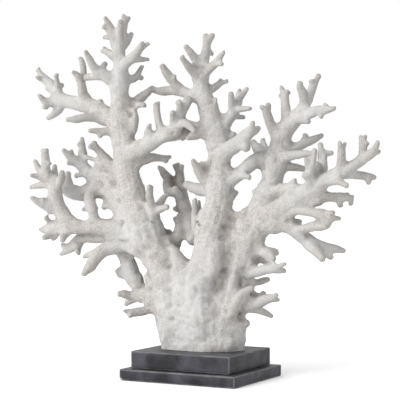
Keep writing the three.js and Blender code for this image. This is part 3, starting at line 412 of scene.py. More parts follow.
# Dents in the front, as seen from the sight point: (across, up, radius, depth, how much painted shade they
# get).
coralDents = [
    (-22, 73, 2.08, 0.99, 0.11), (26, 66, 1.76, 1.08, 0.14), (14, 67, 3.2, 0.81, 0.08),
    (-6, 51, 2.08, 1.08, 0.11), (-28, 60, 2.4, 0.9, 0.05), (-30, 112, 2, 0.9, 0.11),
    (-21, 112, 2, 0.9, 0.11), (17, 88, 4, 1.98, 0.14), (34, 135, 2.8, 1.8, 0.16),
    (24, 152, 2.4, 1.62, 0.11), (-12, 147, 3.2, 1.44, 0.16), (-78, 155, 3.2, 1.08, 0.11),
    (-27, 244.5, 3.2, 1.98, 0.19), (-39.5, 242, 2.72, 1.62, 0.16), (76, 219, 3.2, 1.62, 0.14),
    (82, 236, 2.4, 1.08, 0.11), (77, 196, 3.2, 1.26, 0.08), (107, 141, 2.8, 1.44, 0.11),
    (-79, 291, 4, 1.26, 0.11), (-81, 243, 4.4, 1.26, 0.11), (-69, 264, 2.56, 1.8, 0.19),
    (-86, 334, 3.2, 0.9, 0.08), (12, 277, 3.2, 1.08, 0.11), (22, 208, 3.2, 0.9, 0.08),
    (-88, 196, 3.2, 1.26, 0.11), (36, 211, 2.8, 1.26, 0.11), (2, 40, 4, 0.72, 0.08), (33, 44, 4, 0.9, 0.08),
    (88, 158, 3.2, 1.26, 0.11), (141, 203, 2.4, 0.9, 0.08),
]

# Small nubs that stand on the nearest branch: (across, up, radius, how far they lean to the front).
coralNubs = [
    (-99, 277.5, 2, 2), (-137, 293, 1.6, -6), (-153, 288.5, 2, 3), (-155, 270, 2, 2), (-100, 241, 1.6, 0),
    (-121.5, 233.5, 1.8, 3), (-128, 226.5, 2, -6), (-131, 214.5, 2.5, 2), (-117, 168.5, 1.5, 3),
    (-150, 214.5, 1.5, 3), (-157.5, 227.5, 2, -2), (-153, 228, 2, 3), (-156.5, 179.5, 1.8, 3),
    (-17.5, 238.5, 2, -7), (-45.5, 274, 1.5, 2), (-42, 275, 1.8, -2), (-34, 216, 1.8, 3),
    (-51.5, 191.5, 1.8, 3), (-48, 191.5, 1.5, -2), (-57, 189.5, 2.4, -10), (-67, 324, 1.5, 3),
    (-96, 330.5, 1.5, 2), (12.5, 324.5, 1.7, -7), (16, 277, 2.6, 3), (-25, 301.5, 1.6, 3),
    (54, 187.5, 2.4, 4), (79.5, 282.5, 1.5, 2), (125, 273.5, 2, 3), (121.5, 260.5, 1.8, 2),
    (126, 221.5, 2, 3), (104, 202.5, 2.8, 4), (167.5, 234.5, 1.5, 2), (132, 225, 2.2, -5),
    (168.5, 195, 1.8, 2), (148, 184.5, 1.5, 2), (151, 174, 1.8, -3), (140, 172, 2, 2), (99, 157.5, 2.5, -6),
    (46.5, 55, 4.5, -2), (-80, 109, 2, 3),
]

coralShape = {
    "step": 2.0,            # distance between the rings of a branch, mm
    "plump": 0.8,           # added to the radius of the thinnest twigs, mm
    "sides": 14,
    "voxel": 1.05,          # size of the skin's mesh, mm
    "web": (0.27, 0.5, 4.5),  # how far forks web together: share of the branch's radius, least, most, mm
    "fillTurns": 14,        # how much the hollows soften after that
    "fill": 0.6,
    "wear": 0.05,           # how much ridges and tips lose at the same time
    "lump": 0.8,            # height of the broad lumps, mm
    "lumpRadius": 9,        # on a branch of this radius, and less on thinner ones, mm
    "lumpSize": 9.0,
    "grit": 0.22,           # height of the fine lumps, mm
    "gritSize": 2.6,
    "lobesBelow": 3.2,      # radius under which a tip gets lobes, mm
    "foot": 29.15,          # height at which the coral is cut flat, on the stand, mm
    "footSlack": 0.4,       # faces that end lower than this under it are left out, mm
    "smallPatch": 160,      # a patch with fewer faces joins the limb around it
    "seed": 5,
}


# Painted shade: limbs far behind the fan, and most of all the limb behind the gap in the middle, are coloured
# darker.
coralPaintedShade = {
    "rear": (24, 16, 0.5),      # how far behind the fan it starts, how soon it is full, how much, mm
    "gapRear": (10, 12, 1.15),  # the same behind the gap in the middle
    "gapAcross": (-26, 22),     # the middle of that gap and its width
    "gapUp": (125, 228),        # its bottom and its top
}


def smoothRow(sections):
    # A Catmull-Rom curve through the sections, with about one ring for each step.
    placed = [placeSection(*s) for s in sections]
    points = [p for p, r in placed]
    radii = [r + coralShape["plump"] * mm * max(0, 1 - r / (8 * mm)) for p, r in placed]
    points = [points[0] * 2 - points[1]] + points + [points[-1] * 2 - points[-2]]
    radii = [radii[0]] + radii + [radii[-1]]
    row = []
    for k in range(1, len(points) - 2):
        a, b, c, d = points[k - 1:k + 3]
        span = (c - b).length
        count = max(1, round(span / (coralShape["step"] * mm)))
        for n in range(count):
            t = n / count
            point = 0.5 * ((2 * b) + (c - a) * t + (2 * a - 5 * b + 4 * c - d) * t * t
                           + (3 * b - a - 3 * c + d) * t * t * t)
            ease = t * t * (3 - 2 * t) * 0.5 + t * 0.5
            row.append((point, radii[k] * (1 - ease) + radii[k + 1] * ease))
    row.append((points[-2], radii[-2]))
    return row


def addTube(points, faces, row, sides):
    # Rings along the row and a rounded cap at each end, as one closed skin.
    axis = [(row[min(k + 1, len(row) - 1)][0] - row[max(k - 1, 0)][0]).normalized() for k in range(len(row))]
    side = axis[0].orthogonal().normalized()
    rings = []
    for k, (centre, radius) in enumerate(row):
        side = (side - axis[k] * side.dot(axis[k])).normalized()
        across = axis[k].cross(side)
        rings.append((centre, radius, side.copy(), across))
    caps = [(0.97, 0.35), (0.8, 0.62), (0.5, 0.84), (0.2, 0.95)]
    first, last = rings[0], rings[-1]
    start = [(first[0] - axis[0] * first[1] * h, first[1] * w, first[2], first[3]) for w, h in reversed(caps)]
    end = [(last[0] + axis[-1] * last[1] * h * 0.85, last[1] * w, last[2], last[3]) for w, h in caps]
    rings = start + rings + end
    base = len(points)
    for centre, radius, along, across in rings:
        for n in range(sides):
            turn = 2 * pi * n / sides
            points.append(centre + along * (radius * cos(turn)) + across * (radius * sin(turn)))
    for k in range(len(rings) - 1):
        for n in range(sides):
            m = (n + 1) % sides
            low, high = base + k * sides, base + (k + 1) * sides
            faces.append((low + n, low + m, high + m, high + n))
    faces.append(tuple(base + n for n in reversed(range(sides))))
    faces.append(tuple(base + (len(rings) - 1) * sides + n for n in range(sides)))


def nearestSection(across, up):
    # The point of the layout that is closest on the board, with the limb it belongs to.
    best = None
    for limb, branches in coralBranches.items():
        for branch in branches:
            for s, e in zip(branch, branch[1:]):
                lengthSquared = (e[0] - s[0]) ** 2 + (e[1] - s[1]) ** 2
                t = ((across - s[0]) * (e[0] - s[0]) + (up - s[1]) * (e[1] - s[1])) / max(lengthSquared, 1e-6)
                t = min(max(t, 0), 1)
                spot = [s[k] + (e[k] - s[k]) * t for k in range(4)]
                far = ((across - spot[0]) ** 2 + (up - spot[1]) ** 2) ** 0.5 - spot[3] + abs(spot[2]) * 0.05
                if best is None or far < best[0]:
                    best = (far, limb, spot)
    return best[1], best[2]


def makeSkeleton():
    rows = []
    for limb, branches in coralBranches.items():
        for branch in branches:
            rows.append((limb, smoothRow(branch)))
    for across, up, radius, lean in coralNubs:
        limb, (a, u, deep, thick) = nearestSection(across, up)
        root = (a, u, deep + lean * 0.2, min(thick * 0.7, radius * 1.9))
        middle = ((a + across) / 2, (u + up) / 2, deep + lean * 0.7, radius * 1.35)
        rows.append((limb, smoothRow([root, middle, (across, up, deep + lean, radius)])))
    return rows


def addTipLobes(points, faces, rows):
    # Thin tips get one or two blunt lobes beside their own.
    dice = random.Random(coralShape["seed"])
    for limb, row in rows:
        tip, radius = row[-1]
        if radius > coralShape["lobesBelow"] * mm:
            continue
        axis = (tip - row[-2][0]).normalized()
        turn = dice.uniform(0, 2 * pi)
        for n in range(dice.choice((1, 2, 2))):
            away = Matrix.Rotation(turn + n * pi * 0.9, 3, axis) @ axis.orthogonal().normalized()
            size = radius * dice.uniform(0.72, 0.92)
            start = tip - axis * radius * 0.8
            end = tip + away * radius * dice.uniform(0.5, 0.8) - axis * radius * dice.uniform(-0.1, 0.5)
            addTube(points, faces, [(start, size), ((start + end) / 2, size), (end, size * 0.9)], 8)


def meshArrays(mesh):
    points = np.empty(len(mesh.vertices) * 3, dtype=np.float32)
    mesh.vertices.foreach_get("co", points)
    corners = np.empty(len(mesh.loops), dtype=np.int32)
    mesh.loops.foreach_get("vertex_index", corners)
    return points.reshape(-1, 3).astype(np.float64), corners.reshape(-1, 4)


def quadNormals(points, quads):
    # Vertex normals of a mesh of quads, weighted by area.
    a, b, c, d = (points[quads[:, corner]] for corner in range(4))
    faceNormals = np.cross(c - a, d - b)
    normals = np.zeros_like(points)
    for corner in range(4):
        for k in range(3):
            normals[:, k] += np.bincount(quads[:, corner], faceNormals[:, k], len(points))
    return normals / np.maximum(np.linalg.norm(normals, axis=1), 1e-12)[:, None]


def neighbourMean(values, quads):
    # Each vertex gets the mean of the vertices beside it.
    total = np.zeros_like(values)
    count = np.zeros(len(values))
    for corner in range(4):
        here = quads[:, corner]
        for other in (quads[:, (corner + 1) % 4], quads[:, (corner + 3) % 4]):
            for k in range(values.shape[1]):
                total[:, k] += np.bincount(here, values[other, k], len(values))
            count += np.bincount(here, minlength=len(values))
    return total / np.maximum(count, 1)[:, None]


def noiseAt(points, size, octaves=1):
    scale = 1 / (size * mm)
    values = np.empty(len(points))
    for k, p in enumerate((points * scale).tolist()):
        values[k] = noise.noise(p)
    if octaves > 1:
        values += 0.5 * noiseAt(points + 0.37, size / 2, octaves - 1)
    return values


def remeshed(points, faces, voxel):
    # One even skin of quads round everything.
    mesh = bpy.data.meshes.new("coralRods")
    mesh.from_pydata(points, [], faces)
    rods = bpy.data.objects.new("coralRods", mesh)
    bpy.context.scene.collection.objects.link(rods)
    remesh = rods.modifiers.new("skin", "REMESH")
    remesh.mode = "VOXEL"
    remesh.voxel_size = voxel * mm
    skin = bpy.data.meshes.new_from_object(rods.evaluated_get(bpy.context.evaluated_depsgraph_get()))
    bpy.data.objects.remove(rods)
    bpy.data.meshes.remove(mesh)
    points, quads = meshArrays(skin)
    bpy.data.meshes.remove(skin)
    return points, quads


def swelling(radius):
    share, least, most = coralShape["web"]
    return np.clip(radius * share, least * mm, most * mm)


def makeCoralSkin(rows, samples, radii, owners):
    # Swollen branches run together where they fork. Drawn in again, they keep a web there.
    points, faces = [], []
    for limb, row in rows:
        addTube(points, faces, [(p, r + float(swelling(r))) for p, r in row], coralShape["sides"])
    points, quads = remeshed([tuple(p) for p in points], faces, coralShape["voxel"] * 1.2)
    thick = nearestLimb(points, samples, radii, owners, swelling(radii))[1]
    draw = swelling(thick)
    for turn in range(16):
        draw = neighbourMean(draw[:, None], quads)[:, 0]
    normals = quadNormals(points, quads)
    for turn in range(2):
        normals = neighbourMean(normals, quads)
    normals /= np.maximum(np.linalg.norm(normals, axis=1), 1e-12)[:, None]
    points = points - normals * draw[:, None]
    points, faces = points.tolist(), quads.tolist()
    addTipLobes(points, faces, rows)
    points, quads = remeshed([tuple(p) for p in points], faces, coralShape["voxel"])
    print("coral skin:", len(points), "points")
    return points, quads


def softenHollows(points, quads):
    # Hollows fill and ridges stay, so forks web together and tips keep their size.
    for turn in range(coralShape["fillTurns"]):
        if turn % 4 == 0:
            normals = quadNormals(points, quads)
        pull = neighbourMean(points, quads) - points
        rise = (pull * normals).sum(axis=1)
        share = np.where(rise > 0, coralShape["fill"], coralShape["wear"])
        points = points + pull * share[:, None]
    return points


def layoutPlaces(points):
    # Where points lie on the board, as seen from the sight point, and how far they stand off the fan, in mm.
    turn = radians(board["turn"])
    along = (points[:, 0] * cos(turn) + points[:, 1] * sin(turn)) / mm
    out = (points[:, 0] * sin(turn) - points[:, 1] * cos(turn)) / mm
    scale = 1 - out / board["distance"]
    across = (along - board["shift"]) / scale
    up = board["height"] + (points[:, 2] / mm - board["height"]) / scale
    return across, up, out - across * tan(radians(board["fan"]))


def pressDents(points, normals):
    across, up, deep = layoutPlaces(points)
    turn = radians(board["turn"])
    facing = np.clip((normals[:, 0] * sin(turn) - normals[:, 1] * cos(turn)) * 1.6, 0, 1)
    press, paintedShade = np.zeros(len(points)), np.zeros(len(points))
    # Dents are pressed in and coloured darker as painted shade.
    for a, u, radius, depth, dentShade in coralDents:
        near = np.exp(-((across - a) ** 2 + (up - u) ** 2) / (2 * radius ** 2)) * facing * (deep > -14)
        press += near * depth
        paintedShade += near * dentShade
    # Limbs far behind the fan are coloured darker as painted shade.
    behind, growth, most = coralPaintedShade["rear"]
    paintedShade += np.clip((-deep - behind) / growth, 0, 1) * most
    # The limb behind the gap in the middle gets the most painted shade.
    middle, width = coralPaintedShade["gapAcross"]
    bottom, top = coralPaintedShade["gapUp"]
    gap = np.exp(-((across - middle) / width) ** 2)
    gap *= np.clip((up - bottom) / 20, 0, 1) * np.clip((top - up) / 12, 0, 1)
    behind, growth, most = coralPaintedShade["gapRear"]
    paintedShade += np.clip((-deep - behind) / growth, 0, 1) * gap * most
    return points - normals * (press * mm)[:, None], paintedShade


def limbSamples(rows):
    names = list(coralBranches)
    spots = [(p, r, names.index(limb)) for limb, row in rows for p, r in row]
    samples = np.array([tuple(p) for p, r, n in spots], dtype=np.float32)
    radii = np.array([r for p, r, n in spots], dtype=np.float32)
    return names, samples, radii, np.array([n for p, r, n in spots])


def nearestLimb(points, samples, radii, owners, swell=0):
    # The limb whose branch surface is closest to each point, and how thick that branch is.
    reach = radii + swell
    owner = np.empty(len(points), dtype=np.int32)
    thick = np.empty(len(points))
    for start in range(0, len(points), 4000):
        block = points[start:start + 4000].astype(np.float32)
        square = (block ** 2).sum(1)[:, None] + (samples ** 2).sum(1)[None, :] - 2 * block @ samples.T
        far = np.sqrt(np.maximum(square, 0)) - reach[None, :]
        best = far.argmin(axis=1)
        owner[start:start + 4000] = owners[best]
        thick[start:start + 4000] = radii[best]
    return owner, thick


def shelter(points, quads, normals):
    # How much of the open air each point misses, because the coral itself is in the way. It darkens the
    # colour as painted shade.
    tree = BVHTree.FromPolygons(points.tolist(), quads.tolist())
    dice = random.Random(coralShape["seed"])
    ways = []
    while len(ways) < coralFinish["shelterRays"]:
        way = Vector((dice.uniform(-1, 1), dice.uniform(-1, 1), dice.uniform(-1, 1)))
        if 0.2 < way.length < 1:
            ways.append(way.normalized())
    reach = coralFinish["shelterReach"] * mm
    blocked = np.zeros(len(points))
    starts = (points + normals * coralFinish["shelterLift"] * mm).tolist()
    for k, (start, face) in enumerate(zip(starts, normals.tolist())):
        normal = Vector(face)
        hits = 0
        for way in ways:
            if way.dot(normal) < coralFinish["shelterGrazing"]:
                way = way - normal * (2 * way.dot(normal)) + normal * coralFinish["shelterTurn"]
            if tree.ray_cast(start, way, reach)[0] is not None:
                hits += 1
        blocked[k] = hits / len(ways)
    for turn in range(4):
        blocked = neighbourMean(blocked[:, None], quads)[:, 0]
    return blocked


def makeCoralPieces():
    rows = makeSkeleton()
    names, samples, radii, owners = limbSamples(rows)
    points, quads = makeCoralSkin(rows, samples, radii, owners)
    points = softenHollows(points, quads)
    owner, thick = nearestLimb(points, samples, radii, owners)

    # Broad and fine lumps, smaller on thin twigs.
    normals = quadNormals(points, quads)
    share = np.clip(thick / (coralShape["lumpRadius"] * mm), 0.35, 1.7)
    points, paintedShade = pressDents(points, normals)
    broad = noiseAt(points, coralShape["lumpSize"], 2) + 0.8 * noiseAt(points, coralShape["lumpSize"] * 2.2)
    fine = noiseAt(points, coralShape["gritSize"])
    rise = broad * coralShape["lump"] * share + fine * coralShape["grit"] * np.clip(share * 1.5, 0.5, 1)
    points = points + normals * (rise * mm)[:, None]
    print("coral lumps raised")

    # How deep each point lies in a hollow, how sheltered it is, and the shade painted into the dents and the
    # rear limbs. Together they darken the colour: painted shade, with some grime.
    blurred = points
    for turn in range(coralFinish["hollowTurns"]):
        blurred = blurred + (neighbourMean(blurred, quads) - blurred) * coralFinish["hollowBlur"]
    normals = quadNormals(points, quads)
    hollow = ((blurred - points) * normals).sum(axis=1) / mm
    hollow = hollow + shelter(points, quads, normals) * coralFinish["shelter"] + paintedShade
    print("coral hollows found")

    # Cut flat at the foot.
    foot = coralShape["foot"] * mm
    keep = (points[quads][:, :, 2] > foot - coralShape["footSlack"] * mm).any(axis=1)
    points[:, 2] = np.maximum(points[:, 2], foot)

    # Where a face's corners belong to several limbs, the last one in the table has it. Small patches join
    # their surroundings.
    faceOwner = joinPatches(quads, owner[quads].max(axis=1), len(points))
    for index, name in enumerate(names):
        makeLimb(name, points, quads[keep & (faceOwner == index)], normals, hollow)
    print("coral parted into", len(names), "limbs")


def joinPatches(quads, faceOwner, pointCount):
    for turn in range(3):
        patch = np.arange(len(quads))
        while True:
            # Each patch takes the lowest number among the faces of its limb that share its points.
            changed = patch.copy()
            for limb in np.unique(faceOwner):
                rows = np.nonzero(faceOwner == limb)[0]
                lowest = np.full(pointCount, len(quads), dtype=np.int64)
                for corner in range(4):
                    np.minimum.at(lowest, quads[rows, corner], patch[rows])
                changed[rows] = lowest[quads[rows]].min(axis=1)
            changed = changed[changed]
            if (changed == patch).all():
                break
            patch = changed
        numbers, sizes = np.unique(patch, return_counts=True)
        small = set(numbers[sizes < coralShape["smallPatch"]].tolist())
        if not small:
            break
        pointOwner = np.full(pointCount, -1)
        isSmall = np.isin(patch, list(small))
        pointOwner[quads[~isSmall].ravel()] = np.repeat(faceOwner[~isSmall], 4)
        beside = pointOwner[quads[isSmall]].max(axis=1)
        faceOwner = faceOwner.copy()
        faceOwner[isSmall] = np.where(beside >= 0, beside, faceOwner[isSmall])
    return faceOwner


def makeLimb(name, points, quads, normals, hollow):
    used, corners = np.unique(quads, return_inverse=True)
    corners = corners.reshape(-1, 4)
    mesh = bpy.data.meshes.new(name + "Skin")
    mesh.from_pydata(points[used].tolist(), [], corners.tolist())
    attribute = mesh.attributes.new("hollow", "FLOAT", "POINT")
    attribute.data.foreach_set("value", hollow[used].astype(np.float32))

    # Close the joints to the next limbs, so that each limb is a solid of its own.
    shape = bmesh.new()
    shape.from_mesh(mesh)
    rims = [e for e in shape.edges if e.is_boundary]
    made = bmesh.ops.holes_fill(shape, edges=rims, sides=0)["faces"]
    bmesh.ops.triangulate(shape, faces=made)
    shape.to_mesh(mesh)
    shape.free()

    # The skin keeps the normals of the whole coral, so that no seam shows where two limbs meet.
    corner = np.empty(len(mesh.loops), dtype=np.int32)
    mesh.loops.foreach_get("vertex_index", corner)
    cornerNormals = normals[used][corner]
    for face in mesh.polygons[len(corners):]:
        cornerNormals[face.loop_start:face.loop_start + face.loop_total] = face.normal
    mesh.shade_smooth()
    mesh.normals_split_custom_set(cornerNormals.tolist())

    piece = bpy.data.objects.new(name + "_coral", mesh)
    bpy.context.scene.collection.objects.link(piece)
    mesh.materials.append(coralMaterial)
    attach(piece, "root")
    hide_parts(name)


coralFinish = {
    "hollowTurns": 30,      # how many turns of smoothing tell a hollow from a ridge
    "hollowBlur": 0.7,      # how far a point moves to its neighbours' mean in a turn
    "shelter": 1.3,         # how much painted shade darkens the colour where the air is blocked
    "shelterRays": 8,
    "shelterReach": 32,     # mm
    "shelterLift": 0.5,     # how far off the skin the rays start, mm
    "shelterGrazing": 0.15,  # a ray that leaves the skin less steeply than this is turned outward
    "shelterTurn": 0.3,     # and pushed this much further from it
    "colour": (0.455, 0.448, 0.442),
    # the hollows' colour: painted shade with some grime; also the dust between the grains
    "hollowColour": (0.15, 0.132, 0.117),
    "ridgeColour": (0.37, 0.36, 0.347),
    "hollowRange": (-1.0, 2.2),  # the hollow values at the two ends of the colours
    "patchScale": 55,       # patches of uneven grime
    "patchShare": 0.6,
    "stretchScale": 16,     # longer stretches that are warmer and more grainy
    "warmTint": (1.0, 0.955, 0.91),
    "warmShare": 0.7,
    "grain": 850,           # grains per metre
    "grainDepth": 0.0008,
    "pits": 0.42,           # how dark the dust between the grains is
    "roughness": 0.78,
}


def newMaterial(name):
    material = bpy.data.materials.new(name)
    material.use_nodes = True
    return material, material.node_tree.nodes["Principled BSDF"]


def fillInputs(tree, node, inputs):
    # Each input is set to a value, or linked to another node's output.
    for key, value in inputs.items():
        if isinstance(value, bpy.types.NodeSocket):
            tree.links.new(value, node.inputs[key])
        else:
            node.inputs[key].default_value = value


def addNode(tree, kind, output, inputs, **settings):
    # Makes a shader node and gives back one of its outputs.
    node = tree.nodes.new("ShaderNode" + kind)
    for setting, value in settings.items():
        setattr(node, setting, value)
    fillInputs(tree, node, inputs)
    return node.outputs[output]


def addNoise(tree, spot, scale, detail, **more):
    return addNode(tree, "TexNoise", "Fac", {"Vector": spot, "Scale": scale, "Detail": detail, **more})


def addRange(tree, value, low, high, start=0.0, end=1.0):
    inputs = {"Value": value, "From Min": low, "From Max": high, "To Min": start, "To Max": end}
    return addNode(tree, "MapRange", "Result", inputs)


def addMix(tree, share, first, second, blend="MIX"):
    inputs = {"Factor": share, "A": first, "B": (*second, 1)}
    return addNode(tree, "Mix", "Result", inputs, data_type="RGBA", blend_type=blend)


def addBump(tree, height, distance, strength):
    return addNode(tree, "Bump", "Normal", {"Height": height, "Distance": distance, "Strength": strength})


def addRamp(tree, value, stops):
    ramp = tree.nodes.new("ShaderNodeValToRGB")
    elements = ramp.color_ramp.elements
    while len(elements) < len(stops):
        elements.new(0.5)
    for element, (place, colour) in zip(elements, stops):
        element.position = place
        element.color = (*colour, 1)
    tree.links.new(value, ramp.inputs["Fac"])
    return ramp.outputs["Color"]


def makeCoralMaterial():
    material, shader = newMaterial("castCoral")
    tree, finish = material.node_tree, coralFinish
    spot = addNode(tree, "TexCoord", "Object", {})

    # Colour: pale faces, hollows darkened to warm grey as painted shade with some grime, greyer ridges and
    # tips, and uneven grime.
    hollow = addNode(tree, "Attribute", "Fac", {}, attribute_name="hollow")
    patches = addNoise(tree, spot, finish["patchScale"], 4)
    uneven = addNode(tree, "Math", 0, {0: patches, 1: finish["patchShare"], 2: -finish["patchShare"] / 2},
                     operation="MULTIPLY_ADD")
    deep = addNode(tree, "Math", 0, {0: hollow, 1: uneven}, operation="ADD")
    depth = addRange(tree, deep, *finish["hollowRange"])
    tone = addRamp(tree, depth, [(0.0, finish["ridgeColour"]), (0.35, finish["colour"]),
                                 (1.0, finish["hollowColour"])])

    # Some stretches are a little warmer than others.
    stretch = addNoise(tree, spot, finish["stretchScale"], 2)
    warmth = addRange(tree, stretch, 0.45, 0.75, end=finish["warmShare"])
    warm = addMix(tree, warmth, tone, finish["warmTint"], "MULTIPLY")

    # Grain: close-set round grains with finer grit on them.
    grains = addNode(tree, "TexVoronoi", "Distance", {"Vector": spot, "Scale": finish["grain"]}, feature="F1")
    grit = addNoise(tree, spot, finish["grain"] * 1.6, 3)
    rough = addNode(tree, "Math", 0, {0: grains, 1: -0.9, 2: grit}, operation="MULTIPLY_ADD")
    bump = addBump(tree, rough, finish["grainDepth"], 0.8)

    # Dust in the pits between the grains, more of it in some stretches.
    pits = addRange(tree, grains, 0.42, 0.75, end=finish["pits"])
    dusty = addRange(tree, stretch, 0.36, 0.6, start=0.25)
    share = addNode(tree, "Math", 0, {0: pits, 1: dusty}, operation="MULTIPLY")
    dust = addMix(tree, share, warm, finish["hollowColour"])
    fillInputs(tree, shader, {"Base Color": dust, "Normal": bump, "Roughness": finish["roughness"],
                              "Specular IOR Level": 0.3})
    return material


coralMaterial = makeCoralMaterial()
makeCoralPieces()

# The stand's two tiers: width along X, depth along Y, millimetres.
standShape = {
    "lower": {"node": "stand_lower_tier", "width": 127, "depth": 107, "bottom": 0, "height": 11.4},
    "upper": {"node": "stand_upper_tier", "width": 109, "depth": 92.5, "bottom": 11.7, "height": 17.4},
    "edge": 0.9,            # rounding of the edges
    "wave": 0.35,           # how uneven the cast faces are
    "spacing": 1.6,
    "wornBand": 2.2,        # width of the rubbed band along each edge
    "topWear": 0.42,        # how rubbed the upper faces are
    "chip": 3.5,            # size of the chip at the front left corner
}
standFinish = {
    "colour": (0.003, 0.003, 0.005),
    "paleColour": (0.034, 0.034, 0.043),
    "edgeColour": (0.12, 0.118, 0.12),
    "chipColour": (0.36, 0.31, 0.24),
    "cloudScale": 36,       # the pale clouds on the faces
    "rubbedScale": 90,      # patches along the edges where the wear shows
    "castScale": 420,       # fine bumps of the casting
    "castDepth": 0.0003,
    "roughness": 0.42,
}


def makeStandMaterial():
    material, shader = newMaterial("castCharcoal")
    tree, finish = material.node_tree, standFinish
    spot = addNode(tree, "TexCoord", "Object", {})
    clouds = addNoise(tree, spot, finish["cloudScale"], 5, Roughness=0.5, Distortion=0.6)
    tone = addRamp(tree, clouds, [(0.38, finish["colour"]), (0.62, finish["paleColour"])])

    # Edges are rubbed paler, in patches.
    wear = addNode(tree, "Attribute", "Fac", {}, attribute_name="edgeWear")
    rubbed = addNoise(tree, spot, finish["rubbedScale"], 6)
    amount = addNode(tree, "Math", 0, {0: wear, 1: rubbed}, operation="MULTIPLY")
    worn = addMix(tree, addRange(tree, amount, 0.12, 0.5), tone, finish["edgeColour"])

    # A chip that shows the pale casting.
    chip = addNode(tree, "Attribute", "Fac", {}, attribute_name="chip")
    chipped = addMix(tree, chip, worn, finish["chipColour"])

    sheen = addRange(tree, rubbed, 0, 1, finish["roughness"] - 0.08, finish["roughness"] + 0.14)
    cast = addNoise(tree, spot, finish["castScale"], 4)
    bump = addBump(tree, cast, finish["castDepth"], 0.5)
    fillInputs(tree, shader, {"Base Color": chipped, "Normal": bump, "Roughness": sheen,
                              "Specular IOR Level": 0.26})
    return material


def dividedBlock(size):
    # A box whose faces are divided into small squares.
    shape = bmesh.new()
    bmesh.ops.create_cube(shape, size=1)
    for axis in range(3):
        cuts = max(2, round(size[axis] / standShape["spacing"])) - 1
        edges = [e for e in shape.edges if abs(e.verts[0].co[axis] - e.verts[1].co[axis]) > 0.9]
        bmesh.ops.subdivide_edges(shape, edges=edges, cuts=cuts, use_grid_fill=True)
    for v in shape.verts:
        v.co = Vector(v.co[k] * size[k] for k in range(3))
    return shape


def makeTier(name, tier, material):
    shape = dividedBlock((tier["width"], tier["depth"], tier["height"]))
    half = Vector((tier["width"] / 2, tier["depth"] / 2, tier["height"] / 2))
    edge, chipSize = standShape["edge"], standShape["chip"]
    onFloor = tier["bottom"] == 0
    wear = shape.verts.layers.float.new("edgeWear")
    chip = shape.verts.layers.float.new("chip")
    for v in shape.verts:
        nearest = sorted(half[k] - abs(v.co[k]) for k in range(3))
        top = standShape["topWear"] if v.co.z > half.z - 0.01 else 0.0
        v[wear] = max(top, 1 - nearest[1] / standShape["wornBand"]) if nearest[0] < 0.01 else 0.0
        # Pull the outermost ring of points in, to round the edges and corners.
        core = Vector(min(max(v.co[k], -(half[k] - edge)), half[k] - edge) for k in range(3))
        out = v.co - core
        if out.length > edge:
            v.co = core + out.normalized() * edge
        # Faces sink in a little, unevenly, but the underside of the lower tier stays flat.
        spot = Vector((v.co.x, v.co.y, v.co.z + tier["bottom"]))
        ripple = noise.noise_vector(spot / 14) * 0.7 + noise.noise_vector(spot / 5) * 0.3
        flat = 0 if v.co.z < -half.z + 0.01 and onFloor else 1
        for axis, share in enumerate((1, 1, flat)):
            inward = abs(ripple[axis]) * standShape["wave"] * share
            v.co[axis] -= inward if v.co[axis] > 0 else -inward
        if onFloor:
            reach = (v.co + half).length + noise.noise(spot / 2) * 2
            v[chip] = min(max((chipSize + 0.7 - reach) / 1.5, 0), 1)
            if reach < chipSize:
                v.co += Vector((1, 1, 0)) * 0.35 * (chipSize - reach)
    for v in shape.verts:
        v.co.z += tier["bottom"] + half.z
        v.co *= mm
    bmesh.ops.recalc_face_normals(shape, faces=shape.faces)
    mesh = bpy.data.meshes.new(name)
    shape.to_mesh(mesh)
    shape.free()
    mesh.shade_smooth()
    mesh.materials.append(material)
    piece = bpy.data.objects.new(name, mesh)
    bpy.context.scene.collection.objects.link(piece)
    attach(piece, "root")
    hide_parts(tier["node"])


standMaterial = makeStandMaterial()
makeTier("standLowerTier", standShape["lower"], standMaterial)
makeTier("standUpperTier", standShape["upper"], standMaterial)
print("stand made")

studio = {
    "floorSize": 30,        # metres
    "floorColour": (1.0, 1.0, 1.0),
    "floorRoughness": 0.9,
    "skyStrength": 1.0,     # what shows behind the object
    "skyLight": 0.95,       # what falls on it
    "sunStrength": 2.5,
    "sunAngle": 40,         # how wide the sun is, degrees
    "sunFrom": (-0.45, -1.0, 0.52),
    # name: (place in metres, size, power)
    "lights": {
        "keyLight": ((-1.4, -1.2, 0.35), 0.8, 9),
        "topLight": ((-0.2, -0.3, 1.9), 1.4, 2),
    },
    "lightsAimAt": (0, 0, 0.2),
    "lens": 117,
    "sensor": 36,
}


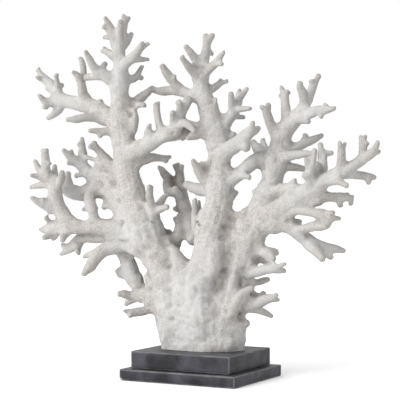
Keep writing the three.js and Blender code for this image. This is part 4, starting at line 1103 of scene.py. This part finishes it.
def makeFloor():
    bpy.ops.mesh.primitive_plane_add(size=studio["floorSize"])
    floor = bpy.context.object
    floor.name = "floor"
    material, shader = newMaterial("paleFloor")
    fillInputs(material.node_tree, shader, {"Base Color": (*studio["floorColour"], 1),
                                            "Roughness": studio["floorRoughness"]})
    floor.data.materials.append(material)


def makeSky():
    # White behind the object, and a little dimmer where it lights it.
    world = bpy.data.worlds.new("studio")
    world.use_nodes = True
    tree = world.node_tree
    white = (1, 1, 1, 1)
    seen = addNode(tree, "Background", 0, {"Color": white, "Strength": studio["skyStrength"]})
    fillInputs(tree, tree.nodes["Background"], {"Color": white, "Strength": studio["skyLight"]})
    inView = addNode(tree, "LightPath", "Is Camera Ray", {})
    sky = addNode(tree, "MixShader", 0, {0: inView, 1: tree.nodes["Background"].outputs[0], 2: seen})
    tree.links.new(sky, tree.nodes["World Output"].inputs[0])
    bpy.context.scene.world = world


def addLamp(name, light, place, aim):
    # A lamp at the place, with its light towards aim.
    lamp = bpy.data.objects.new(name, light)
    lamp.location = place
    lamp.rotation_euler = (Vector(aim) - Vector(place)).to_track_quat("-Z", "Y").to_euler()
    bpy.context.scene.collection.objects.link(lamp)


def makeLights():
    sun = bpy.data.lights.new("sun", "SUN")
    sun.energy = studio["sunStrength"]
    sun.angle = radians(studio["sunAngle"])
    addLamp("sun", sun, studio["sunFrom"], (0, 0, 0))
    for name, (place, size, power) in studio["lights"].items():
        light = bpy.data.lights.new(name, "AREA")
        light.shape = "DISK"
        light.size = size
        light.energy = power
        addLamp(name, light, place, studio["lightsAimAt"])
    bpy.context.scene.view_settings.view_transform = "Standard"


def makeCamera():
    # On the board's own normal, at the sight point that the layout is drawn from.
    turn = radians(board["turn"])
    sight, shift = board["distance"] * mm, board["shift"] * mm
    camera = bpy.data.cameras.new("camera")
    camera.lens = studio["lens"]
    camera.sensor_width = studio["sensor"]
    eye = bpy.data.objects.new("camera", camera)
    eye.location = (shift * cos(turn) + sight * sin(turn), shift * sin(turn) - sight * cos(turn),
                    board["height"] * mm)
    eye.rotation_euler = (pi / 2, 0, turn)
    bpy.context.scene.collection.objects.link(eye)
    bpy.context.scene.camera = eye


makeFloor()
makeSky()
makeLights()
makeCamera()
print("studio and camera set")
